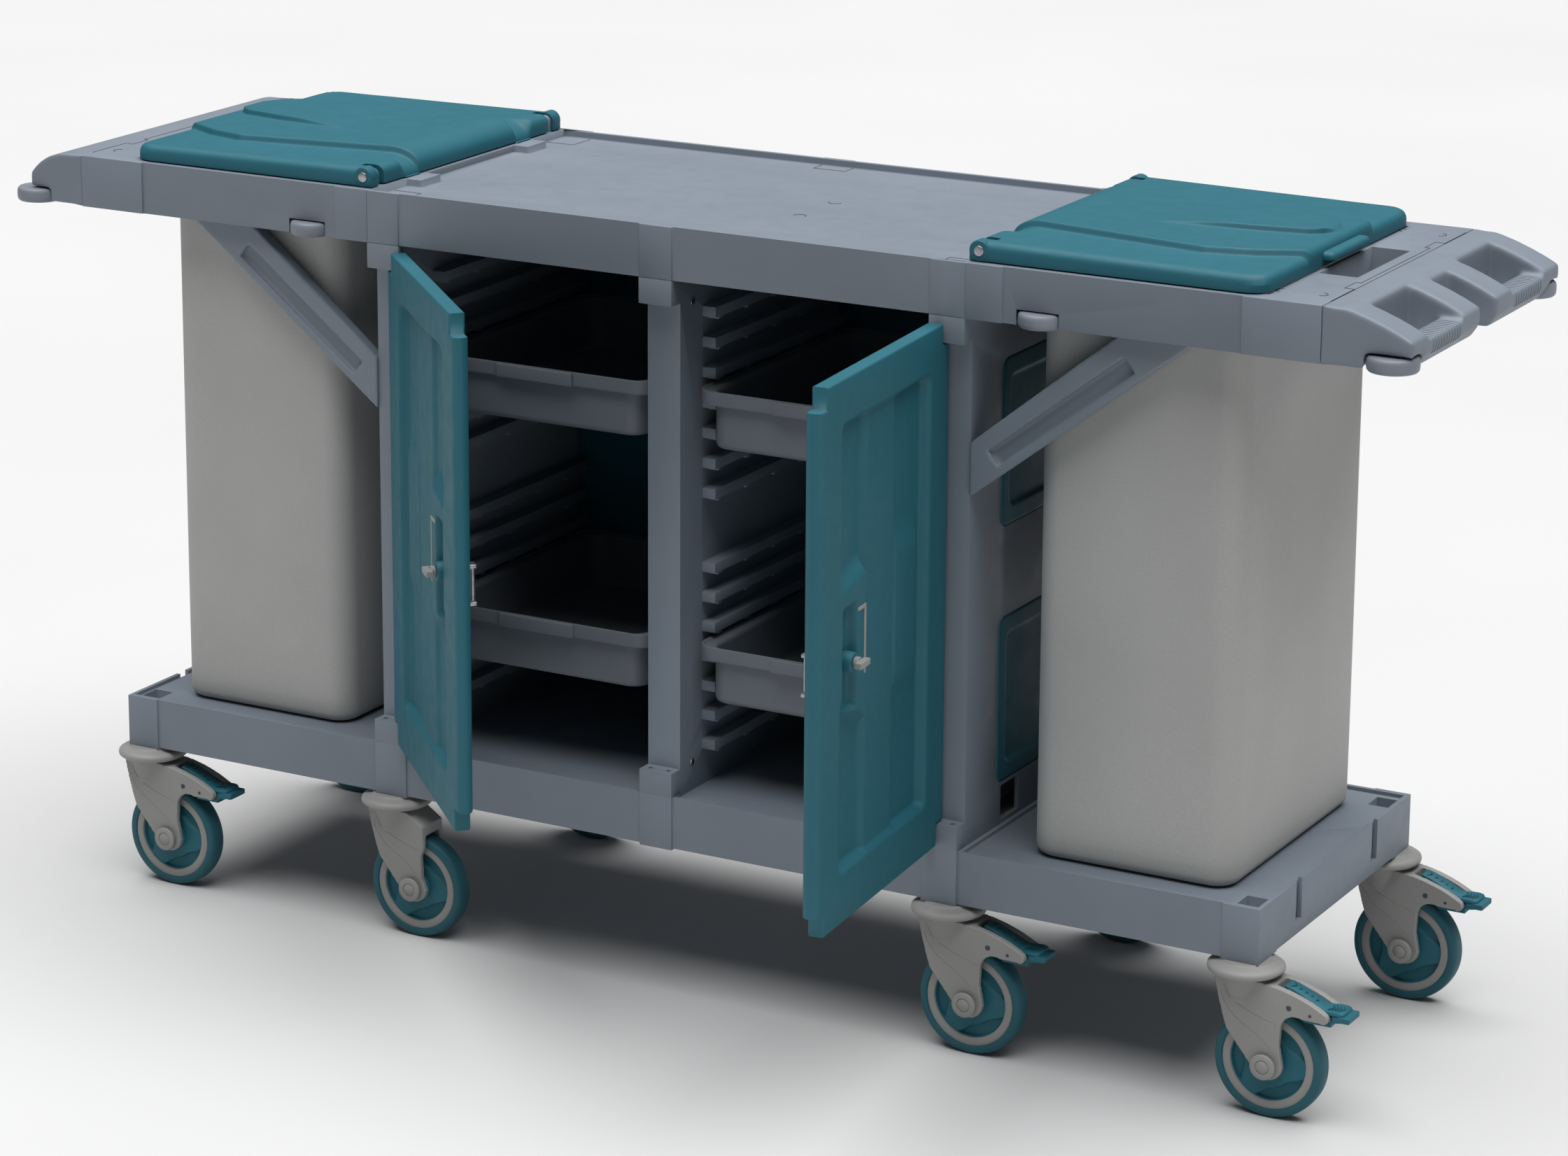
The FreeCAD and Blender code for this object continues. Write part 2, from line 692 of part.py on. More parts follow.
def door():
    """The right door, closed: a slab between the posts, with an edge strip on
    each side that reaches over half a post and turns on the pins."""
    y = ("-hinge_y - door_thick / 2", "-hinge_y + door_thick / 2")
    z = ("base_top + door_low_gap", "counter_low - door_high_gap")
    free = "middle_half + door_gap"
    hung = "bay_out - door_gap"
    strip_z = ("base_top + sleeve_low + strip_gap", "counter_low - sleeve_high - strip_gap")
    parts = [box((free, "hinge_x - 17"), y, z)]
    parts.append(box(("hinge_x - 17", "hinge_x"), y, strip_z))
    parts.append(box(("pin_inset", free), y, strip_z))
    for x in ("hinge_x", "pin_inset"):
        parts.append(rod("door_thick / 2", x, "-hinge_y", strip_z))
    knob_x = free + " + knob_inset"
    seat_y = ("-hinge_y - door_thick / 2 - 5", "-hinge_y")
    seat = rod_across("13", knob_x, seat_y, "knob_height")
    outer_y = ("-hinge_y - door_thick / 2 - 1", "-hinge_y - door_thick / 2 + 7")
    recess_z = ("base_top + 70", "counter_low - 63")
    recess = box((free + " + 45", hung + " - 42"), outer_y, recess_z)
    boss_x = (free + " + 44", free + " + 124")
    boss_y = ("-hinge_y - door_thick / 2", "-hinge_y")
    boss = box(boss_x, boss_y, ("knob_height - 66", "knob_height + 94"))
    pull_x = (free + " + 71", free + " + 124")
    pull = box(pull_x, outer_y, ("knob_height + 20", "knob_height + 64"))
    solid = join([cut(join(parts), [recess]), boss, seat])
    tools = [pull]
    for x in ("hinge_x", "pin_inset"):
        low = ("base_top + sleeve_low", "base_top + sleeve_low + 24")
        high = ("counter_low - sleeve_high - 24", "counter_low - sleeve_high")
        tools.append(rod("door_pin + play", x, "-hinge_y", low))
        tools.append(rod("door_pin + play", x, "-hinge_y", high))
    shaft_y = ("-hinge_y - door_thick / 2 - 10", "-hinge_y + door_thick / 2 + 5")
    tools.append(rod_across("4 + play", knob_x, shaft_y, "knob_height"))
    return cut(solid, tools)


def knob():
    """A wing knob on a shaft that goes through the door to a cam behind it."""
    x = "middle_half + door_gap + knob_inset"
    face_y = "-hinge_y - door_thick / 2"
    shaft = rod_across("4", x, (face_y + " - 12", "-hinge_y + door_thick / 2 + 6"), "knob_height")
    collar = rod_across("8", x, (face_y + " - 12", face_y + " - 5.3"), "knob_height")
    wing = box(
        (x + " - 15", x + " + 15"),
        (face_y + " - 20", face_y + " - 11"),
        ("knob_height - 4", "knob_height + 4"),
    )
    cam_y = ("-hinge_y + door_thick / 2 + 1", "-hinge_y + door_thick / 2 + 5")
    cam = box((x + " - 8", x + " + 26"), cam_y, ("knob_height - 8", "knob_height + 8"))
    return join([shaft, collar, wing, cam])


def latch():
    """The roller catch behind the door's free edge, and the grip strip in its pull."""
    free = "middle_half + door_gap"
    back_y = "-hinge_y + door_thick / 2"
    plate_x = (free + " + 1", free + " + 18")
    plate = box(plate_x, (back_y, back_y + " + 4"), ("knob_height - 28", "knob_height + 28"))
    ears = []
    for z in (("knob_height - 28", "knob_height - 23"), ("knob_height + 23", "knob_height + 28")):
        ears.append(box(plate_x, (back_y + " + 4", back_y + " + 12"), z))
    roller = rod("3.5", free + " + 9", back_y + " + 8", ("knob_height - 23", "knob_height + 23"))
    strip_y = ("-hinge_y - door_thick / 2", "-hinge_y - door_thick / 2 + 6")
    strip = box((free + " + 118", free + " + 123"), strip_y, ("knob_height + 20", "knob_height + 64"))
    return group([join([plate] + ears), roller, strip])


def hang(thing, side, degrees):
    """Turn a closed door's piece about its hinge pins to where the door stands."""
    axis = Vector(side * size("hinge_x"), -size("hinge_y"), 0)
    thing.Placement = Placement(Vector(), Rotation(Vector(0, 0, 1), side * degrees), axis)
    return thing


for maker, label in ((door, "door"), (knob, "door_knob"), (latch, "door_latch")):
    hang(node(label + "_right", maker()), 1, size("right_open"))
    hang(node(label + "_left", mirror_x(maker())), -1, size("left_open"))


# ---------------------------------------------------------------- trays

def tray(side, level):
    """A tray of one bay, hung by its rim on a rail: level is that rail's middle."""
    rim_low = level + " + rail_tall / 2 + 0.5"
    rim_z = (rim_low, rim_low + " + tray_rim")
    wall = "rail_out + tray_gap"
    x = ("middle_half + tray_gap", "bay_out - tray_gap")
    y = ("-(post_face - 21)", "post_face - 24")
    rim = rounded(box(sided(x, side), y, rim_z), 30)
    body_x = ("middle_half + " + wall, "bay_out - (" + wall + ")")
    body_y = ("-(post_face - 29)", "post_face - 32")
    body_z = (rim_low + " + tray_rim - tray_depth", rim_low)
    body = rounded(box(sided(body_x, side), body_y, body_z), 26)
    tab = box(
        sided(("(middle_half + bay_out) / 2 - 60", "(middle_half + bay_out) / 2 + 60"), side),
        ("-(post_face - 15)", "-(post_face - 21)"),
        (rim_low + " + 2", rim_low + " + tray_rim - 2"),
    )
    inner_x = (body_x[0] + " + tray_skin", body_x[1] + " - tray_skin")
    inner_y = (body_y[0] + " + tray_skin", body_y[1] + " - tray_skin")
    inner_z = (body_z[0] + " + tray_skin", rim_low + " + tray_rim + 1")
    inner = rounded(box(sided(inner_x, side), inner_y, inner_z), 23)
    return cut(join([rim, body, tab]), [inner])


TRAY_LEVELS = {
    "upper": "counter_low - rail_first - 3 * rail_pitch",
    "lower": "base_top + rail_first - 3 + 3 * rail_pitch",
}
for side, hand in ((-1, "left"), (1, "right")):
    for place, level in TRAY_LEVELS.items():
        node("tray_%s_%s" % (place, hand), tray(side, level))


# ---------------------------------------------------------------- bumper rollers

def roller_spots():
    """Name, radius, x and y of every bumper roller."""
    spots = []
    for y_side, depth_word in ((-1, "front"), (1, "back")):
        corner_y = "%d * (front - roller_set)" % y_side
        middle_y = "%d * (front - roller_set + 3)" % y_side
        for side, hand in ((-1, "left"), (1, "right")):
            corner_x = "%d * (seam + corner_out)" % side
            middle_x = "%d * (cabinet_half + middle_out)" % side
            spots.append(("%s_%s_corner" % (depth_word, hand), "corner_roller", corner_x, corner_y))
            spots.append(("%s_%s_middle" % (depth_word, hand), "middle_roller", middle_x, middle_y))
    return spots


pins = []
for name, radius, x, y in roller_spots():
    span = ("counter_low - 2", "counter_low + roller_tall - 2")
    wheel = rod(radius, x, y, span)
    bore = rod("5 + play", x, y, ("counter_low - 3", "counter_low + roller_tall"))
    node("roller_" + name, cut(wheel, [bore]))
    pins.append(rod("5", x, y, ("counter_low - 2", "counter_low + roller_tall")))


# ---------------------------------------------------------------- pins and screws

for side in TWO_SIDES:
    x = "%d * hinge_x" % side
    pins.append(rod("door_pin", x, "-hinge_y", ("base_top + sleeve_low - 20", "base_top + sleeve_low + 22")))
    top_span = ("counter_low - sleeve_high - 22", "counter_low - sleeve_high + 20")
    pins.append(rod("door_pin", x, "-hinge_y", top_span))
    for y_side in TWO_SIDES:
        lid_x = "%d * (cabinet_half + lid_axis)" % side
        lid_z = "cart_top + lid_lift"
        shaft_y = sided(("front - 38", "front - 12"), y_side)
        head_y = sided(("front - 12", "front - 10"), y_side)
        shaft = rod_across("lid_pin - 2", lid_x, shaft_y, lid_z)
        head = rod_across("lid_pin", lid_x, head_y, lid_z)
        pins.append(join([shaft, head]))
node("pivot_pins", group(pins))

screws = []
for y_side in TWO_SIDES:
    for z in ("base_top + 36", "counter_low - 38"):
        for x in (("middle_half", "middle_half + 2"), ("-middle_half - 2", "-middle_half")):
            low, high = x
            head = doc.addObject("Part::Cylinder", "Screw")
            head.Placement = Placement(Vector(), Rotation(Vector(0, 1, 0), 90))
            bind(head, "Radius", "5")
            bind(head, "Height", "2")
            bind(head, "Placement.Base.x", low)
            bind(head, "Placement.Base.y", "%d * (post_face - 32)" % y_side)
            bind(head, "Placement.Base.z", z)
            screws.append(head)
node("panel_screws", group(screws))


# ---------------------------------------------------------------- casters

FORK_TOP = size("base_low") - 23
COLLAR_LOW = size("base_low") - 19


def fork_profile(braked):
    """Side view of a fork, with the swivel axis at x = 0 and the floor at z = 0."""
    tyre_top = size("wheel_d")
    axle_z = tyre_top / 2
    trail = size("trail")
    top = FORK_TOP
    boss = [(trail - 14, axle_z - 9), ((trail + 5, axle_z - 19), (trail + 24, axle_z))]
    if braked:
        outer = [
            (trail + 19, axle_z + 28),
            (trail + 20, axle_z + 53),
            ((trail + 28, tyre_top - 6), (trail + 48, tyre_top - 3)),
            (trail + 74, tyre_top - 4),
            ((trail + 84, tyre_top + 1), (trail + 80, tyre_top + 9)),
            ((trail + 42, tyre_top + 26), (33, top)),
        ]
    else:
        outer = [
            (trail + 17, axle_z + 17),
            (trail + 16, axle_z + 50),
            (trail + 21, axle_z + 62),
            (trail + 20, axle_z + 94),
            (33, top),
        ]
    nape = [(-33, top), ((-25, axle_z + 74), (-15, axle_z + 41))]
    return nape + boss + outer


def caster_fork(x, y, braked):
    """The swivel fork with its stem, and the axle with its two end caps."""
    tyre_top = size("wheel_d")
    axle_z = tyre_top / 2
    trail = size("trail")
    half = size("tread") / 2 + 10.5
    room = size("tread") / 2 + 2.5
    radius = size("wheel_d") / 2 + 6
    body = slab(fork_profile(braked), -half, half)
    neck = Part.makeCylinder(33, COLLAR_LOW + 6 - FORK_TOP, Vector(0, 0, FORK_TOP))
    stem = Part.makeCylinder(size("stem"), 48, Vector(0, 0, FORK_TOP))
    body = body.fuse(neck).fuse(stem)
    slot = Part.makeCylinder(radius, 2 * room, Vector(trail, -room, axle_z), Vector(0, 1, 0))
    below = Part.makeBox(2 * radius, 2 * room, axle_z, Vector(trail - radius, -room, 0))
    bore = Part.makeCylinder(size("axle"), 4 * half, Vector(trail, -2 * half, axle_z), Vector(0, 1, 0))
    tools = [slot, below, bore]
    if braked:
        tools.append(Part.makeBox(90, 30, 60, Vector(trail + 10, -15, tyre_top - 13)))
        pivot = Vector(trail + 31, -2 * half, tyre_top + 9)
        tools.append(Part.makeCylinder(3, 4 * half, pivot, Vector(0, 1, 0)))
    body = body.cut(Part.makeCompound(tools))
    pin = Part.makeCylinder(size("axle"), 2 * half, Vector(trail, -half, axle_z), Vector(0, 1, 0))
    caps = [
        Part.makeCylinder(11, 1.5, Vector(trail, -half - 1.5, axle_z), Vector(0, 1, 0)),
        Part.makeCylinder(11, 1.5, Vector(trail, half, axle_z), Vector(0, 1, 0)),
    ]
    pin = pin.fuse(caps)
    whole = Part.makeCompound([body, pin])
    whole.translate(Vector(x, y, 0))
    return whole


def caster_wheel(x, y):
    """Tyre, rim ring and hub: three solids that turn together on the axle."""
    radius = size("wheel_d") / 2
    half = size("tread") / 2
    rim = radius - 12
    disc = radius - 23
    bore = size("axle") + size("play")
    tyre = [
        (rim, -half + 1),
        (radius - 5, -half),
        (radius - 1, -half + 4),
        (radius, 0),
        (radius - 1, half - 4),
        (radius - 5, half),
        (rim, half - 1),
    ]
    ring = [(disc, -half + 2), (rim, -half + 1), (rim, half - 1), (disc, half - 2)]
    hub = [
        (bore, -half - 1),
        (16, -half - 1),
        (20, -half + 5),
        (disc, -half + 4),
        (disc, half - 4),
        (20, half - 5),
        (16, half + 1),
        (bore, half + 1),
    ]
    solids = [turned(points, x + size("trail"), radius, y) for points in (tyre, ring, hub)]
    return Part.makeCompound(solids)


def brake_pedal(x, y):
    """The rocking pedal, its pivot pin and the shoe that hangs over the tyre."""
    tyre_top = size("wheel_d")
    trail = size("trail")
    arm = [
        (trail + 14, tyre_top + 17),
        (trail + 16, tyre_top + 26),
        ((trail + 44, tyre_top + 21), (trail + 76, tyre_top + 7)),
        (trail + 110, tyre_top + 7),
        (trail + 110, tyre_top - 1),
        (trail + 86, tyre_top - 5),
        (trail + 60, tyre_top + 5),
    ]
    body = slab(arm, -13, 13)
    paddle = Part.makeBox(24, 36, 8, Vector(trail + 86, -18, tyre_top - 1))
    shoe = Part.makeBox(38, 26, 6, Vector(trail + 46, -13, tyre_top - 11))
    neck = Part.makeBox(14, 26, 18, Vector(trail + 60, -13, tyre_top - 9))
    body = body.fuse([paddle, shoe, neck])
    pivot_pin = Part.makeCylinder(3, 50, Vector(trail + 31, -25, tyre_top + 9), Vector(0, 1, 0))
    hub = Part.makeCylinder(7, 26, Vector(trail + 31, -13, tyre_top + 9), Vector(0, 1, 0))
    body = body.fuse([pivot_pin, hub])
    body.translate(Vector(x, y, 0))
    return body


def collar(x, y):
    """The domed cap that hides a swivel's bearing, fixed under the base."""
    top = size("base_low") - 2
    low = COLLAR_LOW
    corners = [
        (34, low),
        (38, low),
        (48, low + 5),
        (50.5, low + 11),
        (46, top),
        (size("stem") + size("play"), top),
        (size("stem") + size("play"), low + 8),
        (34, low + 8),
    ]
    points = [Vector(radius, 0, z) for radius, z in corners]
    face = Part.Face(Part.makePolygon(points + points[:1]))
    solid = face.revolve(Vector(), Vector(0, 0, 1), 360)
    solid.translate(Vector(x, y, 0))
    return solid


BRAKED = ("front_left", "front_middle_right", "front_right", "back_right")
collars = []
for y_side, depth_word in ((-1, "front"), (1, "back")):
    spots = (
        ("left", -size("swivel_far")),
        ("middle_left", -size("swivel_near")),
        ("middle_right", size("swivel_near")),
        ("right", size("swivel_far")),
    )
    for place, x in spots:
        name = "%s_%s" % (depth_word, place)
        y = y_side * size("swivel_y")
        braked = name in BRAKED
        node("fork_" + name, drawn("Fork", caster_fork(x, y, braked)))
        node("wheel_" + name, drawn("Wheel", caster_wheel(x, y)))
        if braked:
            node("brake_" + name, drawn("Brake", brake_pedal(x, y)))
        collars.append(collar(x, y))
node("caster_collars", drawn("Collars", Part.makeCompound(collars)))


# ---------------------------------------------------------------- check and write

def check():
    """Refuse to write anything unless every object and every shape is sound."""
    faults = []
    for thing in doc.Objects:
        if "Invalid" in thing.State or "Error" in thing.State:
            faults.append("%s (%s) is %s" % (thing.Name, thing.Label, thing.State))
    for label, thing in nodes.items():
        shape = thing.Shape
        if shape.isNull() or not shape.isValid():
            faults.append("%s has no sound shape" % label)
        elif not shape.Solids:
            faults.append("%s has no solid" % label)
    if faults:
        raise RuntimeError("; ".join(faults))


doc.recompute()
check()
os.makedirs("parts", exist_ok=True)
for label, thing in nodes.items():
    thing.Shape.exportStep("parts/%s.step" % label)
    extent = thing.Shape.BoundBox
    print(
        "%-28s %2d solids %9.0f mm3  x %7.1f %7.1f  y %7.1f %7.1f  z %7.1f %7.1f"
        % (label, len(thing.Shape.Solids), thing.Shape.Volume,
           extent.XMin, extent.XMax, extent.YMin, extent.YMax, extent.ZMin, extent.ZMax)
    )
print(len(nodes), "nodes")
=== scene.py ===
# %% [markdown]
# # A hotel housekeeping cart
# The cart is mostly injection-moulded plastic: slate shells, teal doors and lids, pale
# nylon casters, and two grey cloth bags. Its exact solids come from the CAD frame. Each
# cell below gives one group of parts the soft edges, surface and finish of the real thing.

# %% Load the frame
import json
import math

import bmesh
import bpy
import numpy as np
from mathutils import Matrix, Vector, noise
from mathutils.bvhtree import BVHTree


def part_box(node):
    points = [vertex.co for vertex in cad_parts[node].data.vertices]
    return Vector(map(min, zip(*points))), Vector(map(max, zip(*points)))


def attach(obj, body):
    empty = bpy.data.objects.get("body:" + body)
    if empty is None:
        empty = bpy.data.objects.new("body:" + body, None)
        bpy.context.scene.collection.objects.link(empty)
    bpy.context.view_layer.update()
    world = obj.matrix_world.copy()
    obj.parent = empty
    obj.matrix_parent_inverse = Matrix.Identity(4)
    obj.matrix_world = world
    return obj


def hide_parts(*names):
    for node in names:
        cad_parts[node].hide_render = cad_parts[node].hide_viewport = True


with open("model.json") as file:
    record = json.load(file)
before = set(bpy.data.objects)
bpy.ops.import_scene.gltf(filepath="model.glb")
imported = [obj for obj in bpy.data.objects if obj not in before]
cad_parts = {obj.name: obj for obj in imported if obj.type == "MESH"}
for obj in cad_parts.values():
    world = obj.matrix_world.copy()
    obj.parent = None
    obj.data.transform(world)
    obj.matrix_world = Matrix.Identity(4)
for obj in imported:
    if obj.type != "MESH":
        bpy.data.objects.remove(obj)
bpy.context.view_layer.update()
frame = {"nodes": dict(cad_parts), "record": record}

MM = 0.001
nodes = frame["nodes"]
joints = {joint["name"]: joint for joint in frame["record"]["behaviour"]["joints"]}

# %% [markdown]
# ## Finishes
# Moulded plastic takes its look from the steel mould: a spark-eroded cavity leaves a fine
# pebble that breaks up the gloss. Every plastic here is the same little recipe with its own
# colour, gloss and pebble size, so one function builds them all. Object coordinates are
# used because they stay with the part when a door or a wheel turns.

# %% Colours and the node helper
def linear(code):
    """A six-digit sRGB hex colour as the linear RGBA that shaders use."""
    values = [int(code[i:i + 2], 16) / 255 for i in (0, 2, 4)]
    return (*[v / 12.92 if v <= 0.04045 else ((v + 0.055) / 1.055) ** 2.4 for v in values], 1)


def add(tree, kind, links=None, **settings):
    """Add a node: a setting goes to the input of that name, or else to the property."""
    node = tree.nodes.new(kind)
    for name, value in settings.items():
        socket = node.inputs.get(name.replace("_", " "))
        if socket is not None:
            socket.default_value = value
        else:
            setattr(node, name, value)
    for name, source in (links or {}).items():
        key = name if isinstance(name, int) else name.replace("_", " ")
        tree.links.new(source, node.inputs[key])
    return node


def new_material(name):
    """An empty node material and its tree, shader and object coordinates."""
    material = bpy.data.materials.new(name)
    material.use_nodes = True
    tree = material.node_tree
    tree.nodes.clear()
    shader = add(tree, "ShaderNodeBsdfPrincipled")
    add(tree, "ShaderNodeOutputMaterial", {"Surface": shader.outputs["BSDF"]})
    place = add(tree, "ShaderNodeTexCoord").outputs["Object"]
    return material, tree, shader, place


def two_tones(tree, source, dark, light, low=0.35, high=0.65):
    """A colour ramp between two close tones."""
    ramp = add(tree, "ShaderNodeValToRGB", {"Fac": source})
    for stop, spot, tone in zip(ramp.color_ramp.elements, (low, high), (dark, light)):
        stop.position = spot
        stop.color = linear(tone)
    return ramp.outputs["Color"]


# %% Moulded plastics
def moulded(name, dark, light, gloss, pebble_mm, relief_mm, ior=1.49):
    """Injection-moulded plastic: slow colour drift, uneven gloss and a fine pebble."""
    material, tree, shader, place = new_material(name)
    drift = add(tree, "ShaderNodeTexNoise", {"Vector": place}, Scale=7.0, Detail=3.0)
    colour = two_tones(tree, drift.outputs["Fac"], dark, light)
    tree.links.new(colour, shader.inputs["Base Color"])
    handling = add(tree, "ShaderNodeTexNoise", {"Vector": place}, Scale=38.0, Detail=4.0)
    rough = add(
        tree, "ShaderNodeMapRange", {"Value": handling.outputs["Fac"]},
        From_Min=0.3, From_Max=0.7, To_Min=gloss - 0.05, To_Max=gloss + 0.07,
    )
    tree.links.new(rough.outputs["Result"], shader.inputs["Roughness"])
    pebble = add(
        tree, "ShaderNodeTexNoise", {"Vector": place}, Scale=1000 / pebble_mm, Detail=2.0
    )
    bump = add(
        tree, "ShaderNodeBump", {"Height": pebble.outputs["Fac"]},
        Strength=0.5, Distance=relief_mm * MM,
    )
    tree.links.new(bump.outputs["Normal"], shader.inputs["Normal"])
    shader.inputs["IOR"].default_value = ior
    shader.inputs["Specular IOR Level"].default_value = 0.4
    return material


# Spark-eroded polypropylene: a matt slate grey with a pebble coarse enough to show.
slate = moulded("slate_polypropylene_spark_eroded", "77808b", "7a838e", 0.52, 2.2, 0.16)
# The doors and lids come from smoother moulds, so they hold a wider, softer highlight.
teal = moulded("teal_polypropylene_satin", "20616f", "216372", 0.56, 1.8, 0.08)
# Glass-filled nylon of the caster housings: pale, dry and slightly cloudy.
pale_nylon = moulded("pale_glass_filled_nylon", "8e8e8c", "949492", 0.50, 1.6, 0.12, 1.53)
# The trays are the same family as the shells, but thinner; they are drawn a little darker
# as painted shade, since they hang inside the cart.
tray_grey = moulded("tray_grey_polypropylene", "676c74", "6a7078", 0.50, 2.0, 0.12)
# Thermoplastic rubber on the treads: softer sheen than the hubs.
tread_rubber = moulded("teal_thermoplastic_rubber", "1d5562", "205a67", 0.58, 2.6, 0.14, 1.52)
# The bumper rollers are the slate plastic, polished by walls and door frames.
bumper = moulded("slate_polyethylene_roller", "797f8a", "848a95", 0.46, 2.4, 0.14)
print("plastics ready")

# %% [markdown]
# ## Zinc-plated steel and coated cloth
# Pins and catches are zinc plated, which is a metal with faint cloudy patches. The bags are
# coated polyester: a plain weave, so two crossed waves give its threads, and a soft noise
# gives the slightly uneven coating. Real threads are 0.4 mm apart; they are drawn at
# 1.6 mm, because the true pitch would vanish at this distance.

# %% Metal and cloth
def plated_steel():
    """Bright zinc over steel, slightly patchy."""
    material, tree, shader, place = new_material("zinc_plated_steel")
    patches = add(tree, "ShaderNodeTexNoise", {"Vector": place}, Scale=120.0, Detail=5.0)
    colour = two_tones(tree, patches.outputs["Fac"], "9a9aa0", "bcbcc0")
    tree.links.new(colour, shader.inputs["Base Color"])
    rough = add(
        tree, "ShaderNodeMapRange", {"Value": patches.outputs["Fac"]}, To_Min=0.26, To_Max=0.44
    )
    tree.links.new(rough.outputs["Result"], shader.inputs["Roughness"])
    shader.inputs["Metallic"].default_value = 1.0
    return material


def coated_cloth(thread_mm=1.6):
    """Grey polyester cloth with a matt coating."""
    material, tree, shader, place = new_material("grey_coated_polyester_cloth")
    waves = [add(
        tree, "ShaderNodeTexWave", {"Vector": place}, bands_direction=direction,
        Scale=1000 / thread_mm / 20, Distortion=1.2, Detail=1.0,
    ) for direction in ("DIAGONAL", "Z")]
    weave = add(
        tree, "ShaderNodeMath", {0: waves[0].outputs["Fac"], 1: waves[1].outputs["Fac"]},
        operation="MULTIPLY",
    )
    cloud = add(tree, "ShaderNodeTexNoise", {"Vector": place}, Scale=420.0, Detail=3.0)
    mixed = add(
        tree, "ShaderNodeMath", {0: weave.outputs[0], 1: cloud.outputs["Fac"]}, operation="ADD"
    )
    patches = add(tree, "ShaderNodeTexNoise", {"Vector": place}, Scale=5.0, Detail=4.0)
    shade = add(
        tree, "ShaderNodeMath", {0: cloud.outputs["Fac"], 1: patches.outputs["Fac"]},
        operation="MULTIPLY",
    )
    colour = two_tones(tree, shade.outputs[0], "a6a6a4", "b0b0ae", 0.12, 0.40)
    tree.links.new(colour, shader.inputs["Base Color"])
    bump = add(
        tree, "ShaderNodeBump", {"Height": mixed.outputs[0]}, Strength=0.35, Distance=0.15 * MM
    )
    tree.links.new(bump.outputs["Normal"], shader.inputs["Normal"])
    shader.inputs["Roughness"].default_value = 0.78
    shader.inputs["Sheen Weight"].default_value = 0.15
    return material


steel = plated_steel()
cloth = coated_cloth()
print("metal and cloth ready")

# %% [markdown]
# ## Making and finishing pieces
# All lengths in the making are millimetres, as on a drawing, and turn to metres once, when
# a mesh is stored. A finished piece sits at the origin with plain vertices, rides on a CAD
# body and stands in for the CAD nodes that it details.

# %% Mesh helpers
def shown(name, data):
    """An object in the scene for a mesh, a curve, a light or a camera."""
    piece = bpy.data.objects.new(name, data)
    bpy.context.scene.collection.objects.link(piece)
    return piece


def make(name, points, faces):
    """An object from points in millimetres."""
    mesh = bpy.data.meshes.new(name)
    mesh.from_pydata([tuple(MM * c for c in p) for p in points], [], faces)
    return shown(name, mesh)


def tidy(piece, outward=True):
    """Merge double points, drop slivers and loose points, and turn the faces outwards."""
    work = bmesh.new()
    work.from_mesh(piece.data)
    bmesh.ops.remove_doubles(work, verts=work.verts, dist=0.01 * MM)
    bmesh.ops.dissolve_degenerate(work, edges=work.edges, dist=0.005 * MM)
    if outward:
        bmesh.ops.recalc_face_normals(work, faces=work.faces)
    loose = [v for v in work.verts if not v.link_faces]
    bmesh.ops.delete(work, geom=loose, context="VERTS")
    work.to_mesh(piece.data)
    work.free()
    return piece


def bake(piece):
    """Apply every modifier."""
    graph = bpy.context.evaluated_depsgraph_get()
    mesh = bpy.data.meshes.new_from_object(piece.evaluated_get(graph))
    piece.modifiers.clear()
    piece.data = mesh
    return piece


def modify(piece, kind, **settings):
    """Add a modifier and set it."""
    modifier = piece.modifiers.new(kind.title(), kind)
    for name, value in settings.items():
        setattr(modifier, name, value)
    return modifier


def painted(piece, material):
    """The piece in one material."""
    piece.data.materials.clear()
    piece.data.materials.append(material)
    return piece


def finish(piece, material, body, *stands_for, slot, degrees=35):
    """Shade the piece, give it its material and body, and hide the CAD nodes that it
    details. Shading is smooth, but breaks at corners sharper than the angle. The slot is not used."""
    piece.data.polygons.foreach_set("use_smooth", [True] * len(piece.data.polygons))
    piece.data.set_sharp_from_angle(angle=math.radians(degrees))
    if material is not None:
        painted(piece, material)
    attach(piece, body)
    if stands_for:
        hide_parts(*stands_for)
    print(piece.name, len(piece.data.polygons), "faces")


def copied(name, source, matrix=None, flip=False):
    """A new piece with the same mesh, moved by a matrix in metres, or mirrored in X."""
    mesh = source.data.copy()
    if flip:
        mesh.transform(Matrix.Diagonal((-1, 1, 1, 1)))
        mesh.flip_normals()
    if matrix is not None:
        mesh.transform(matrix)
    return shown(name, mesh)


def joined(name, pieces):
    """Several meshes as one piece, each keeping its materials."""
    work = bmesh.new()
    slots = []
    for piece in pieces:
        start = len(work.faces)
        work.from_mesh(piece.data)
        work.faces.ensure_lookup_table()
        table = []
        for material in piece.data.materials:
            if material not in slots:
                slots.append(material)
            table.append(slots.index(material))
        for face in work.faces[start:]:
            face.material_index = table[face.material_index] if table else 0
        bpy.data.objects.remove(piece)
    mesh = bpy.data.meshes.new(name)
    work.to_mesh(mesh)
    work.free()
    for material in slots:
        mesh.materials.append(material)
    return shown(name, mesh)


def cad_copy(name, node, merge_flats=True):
    """A welded copy of a CAD node. Its triangles are merged back into flat faces, but not
    where a face has windows, because a face can't have a hole in Blender."""
    work = bmesh.new()
    work.from_mesh(nodes[node].data)
    bmesh.ops.remove_doubles(work, verts=work.verts, dist=0.02 * MM)
    if merge_flats:
        bmesh.ops.dissolve_limit(
            work, angle_limit=math.radians(1.5), verts=work.verts, edges=work.edges
        )
    mesh = bpy.data.meshes.new(name)
    work.to_mesh(mesh)
    work.free()
    return shown(name, mesh)


